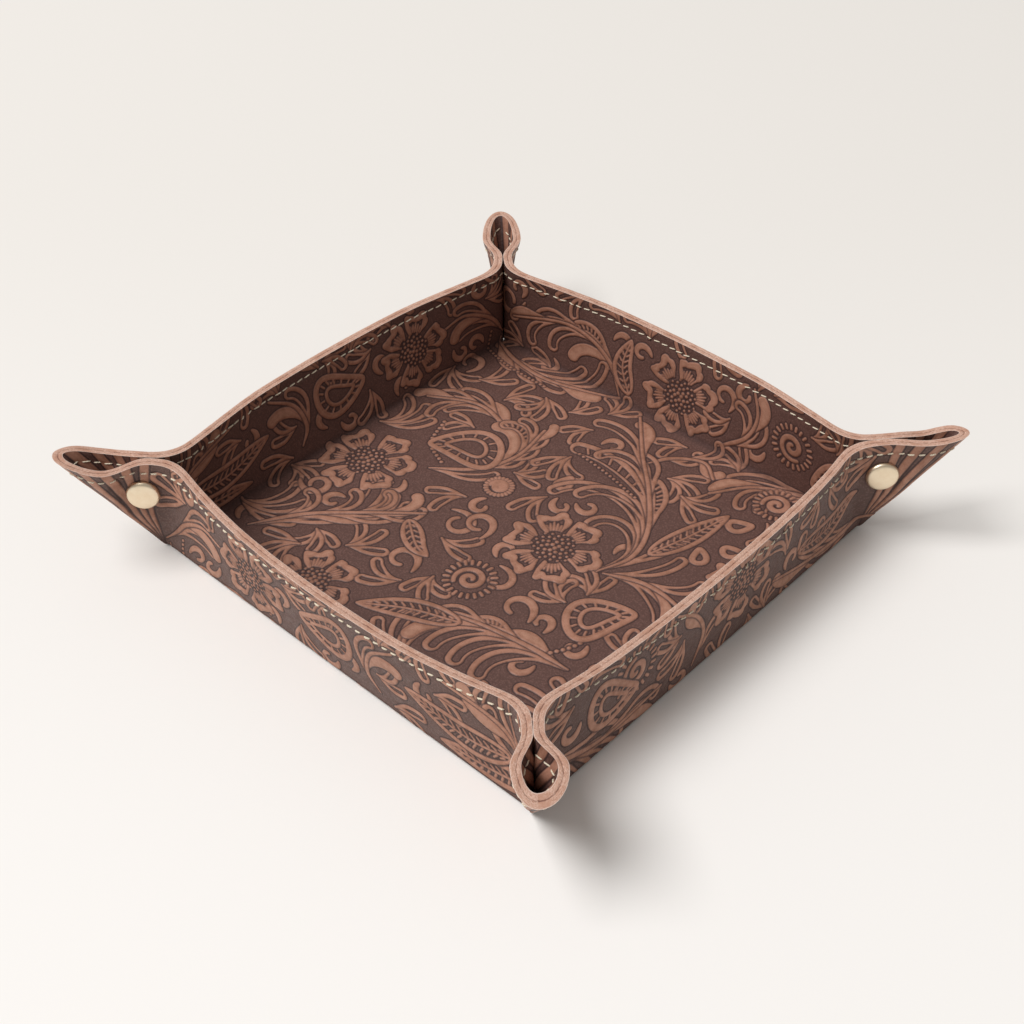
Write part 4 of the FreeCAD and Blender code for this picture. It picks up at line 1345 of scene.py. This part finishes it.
shot = {"azimuth": 42.734, "elevation": 41.656, "distance": 0.5859, "lens": 53.147,
        "shift": (-0.00297, 0.02286)}
light = {"power": 440.0, "size": 3.8, "distance": 7.0, "aside": -0.6, "away": -0.1,
         "sky": 0.36, "skyTone": "f7f4f0"}
# the table is paler near the camera
table = {"half": 3.0, "top": -0.0002, "near": "f6f3f0", "far": "ebe7e2", "fade": (-0.25, 0.3)}

azimuth, elevation = math.radians(shot["azimuth"]), math.radians(shot["elevation"])
rightward = Vector((math.cos(azimuth), math.sin(azimuth), 0))
away = Vector((-math.sin(azimuth), math.cos(azimuth), 0))
back = Vector((0, 0, math.sin(elevation))) - away * math.cos(elevation)


def staged(name, data):
    thing = bpy.data.objects.new(name, data)
    bpy.context.scene.collection.objects.link(thing)
    return thing


def aimed(thing, lead, distance):  # looks back at the origin
    thing.location = lead * distance
    thing.rotation_euler = lead.to_track_quat("Z", "Y").to_euler()


mesh = bpy.data.meshes.new("table_top")
half, top = table["half"], table["top"]
corners = [(x, y, top) for x, y in ((-half, -half), (half, -half), (half, half), (-half, half))]
mesh.from_pydata(corners, [], [(0, 1, 2, 3)])
material, put, dress = finishNodes("pale_table")
spread = put("VectorMath", {0: put("TexCoord", {}, "Object"), 1: tuple(away)}, 1, operation="DOT_PRODUCT")
dress({"Base Color": mixTone(put, rangeOf(put, spread, *table["fade"]), table["near"], table["far"]),
       "Roughness": 0.8, "Specular IOR Level": 0.2})
mesh.materials.append(material)
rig.stage(staged("table_top", mesh))

lamp = bpy.data.lights.new("window", "AREA")
lamp.energy, lamp.size = light["power"], light["size"]
toLamp = (light["aside"] * rightward + light["away"] * away + Vector((0, 0, 1))).normalized()
aimed(staged("window", lamp), toLamp, light["distance"])

world = bpy.data.worlds.new("studio")
world.use_nodes = True
world.node_tree.nodes["Background"].inputs[0].default_value = tone(light["skyTone"])
world.node_tree.nodes["Background"].inputs[1].default_value = light["sky"]
bpy.context.scene.world = world

camera = bpy.data.cameras.new("photo_camera")
camera.lens, camera.sensor_width = shot["lens"], 36.0
camera.shift_x, camera.shift_y = shot["shift"]
camera.clip_start = 0.01
cameraObject = staged("photo_camera", camera)
aimed(cameraObject, back, shot["distance"])
bpy.context.scene.camera = cameraObject
bpy.context.scene.view_settings.view_transform = "Standard"
print("stage set")

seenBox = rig.bounds()
with open("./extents.json", "w") as sizeFile:
    json.dump({"cad": [list(v) for v in cadBox], "visual": [list(v) for v in seenBox]}, sizeFile)
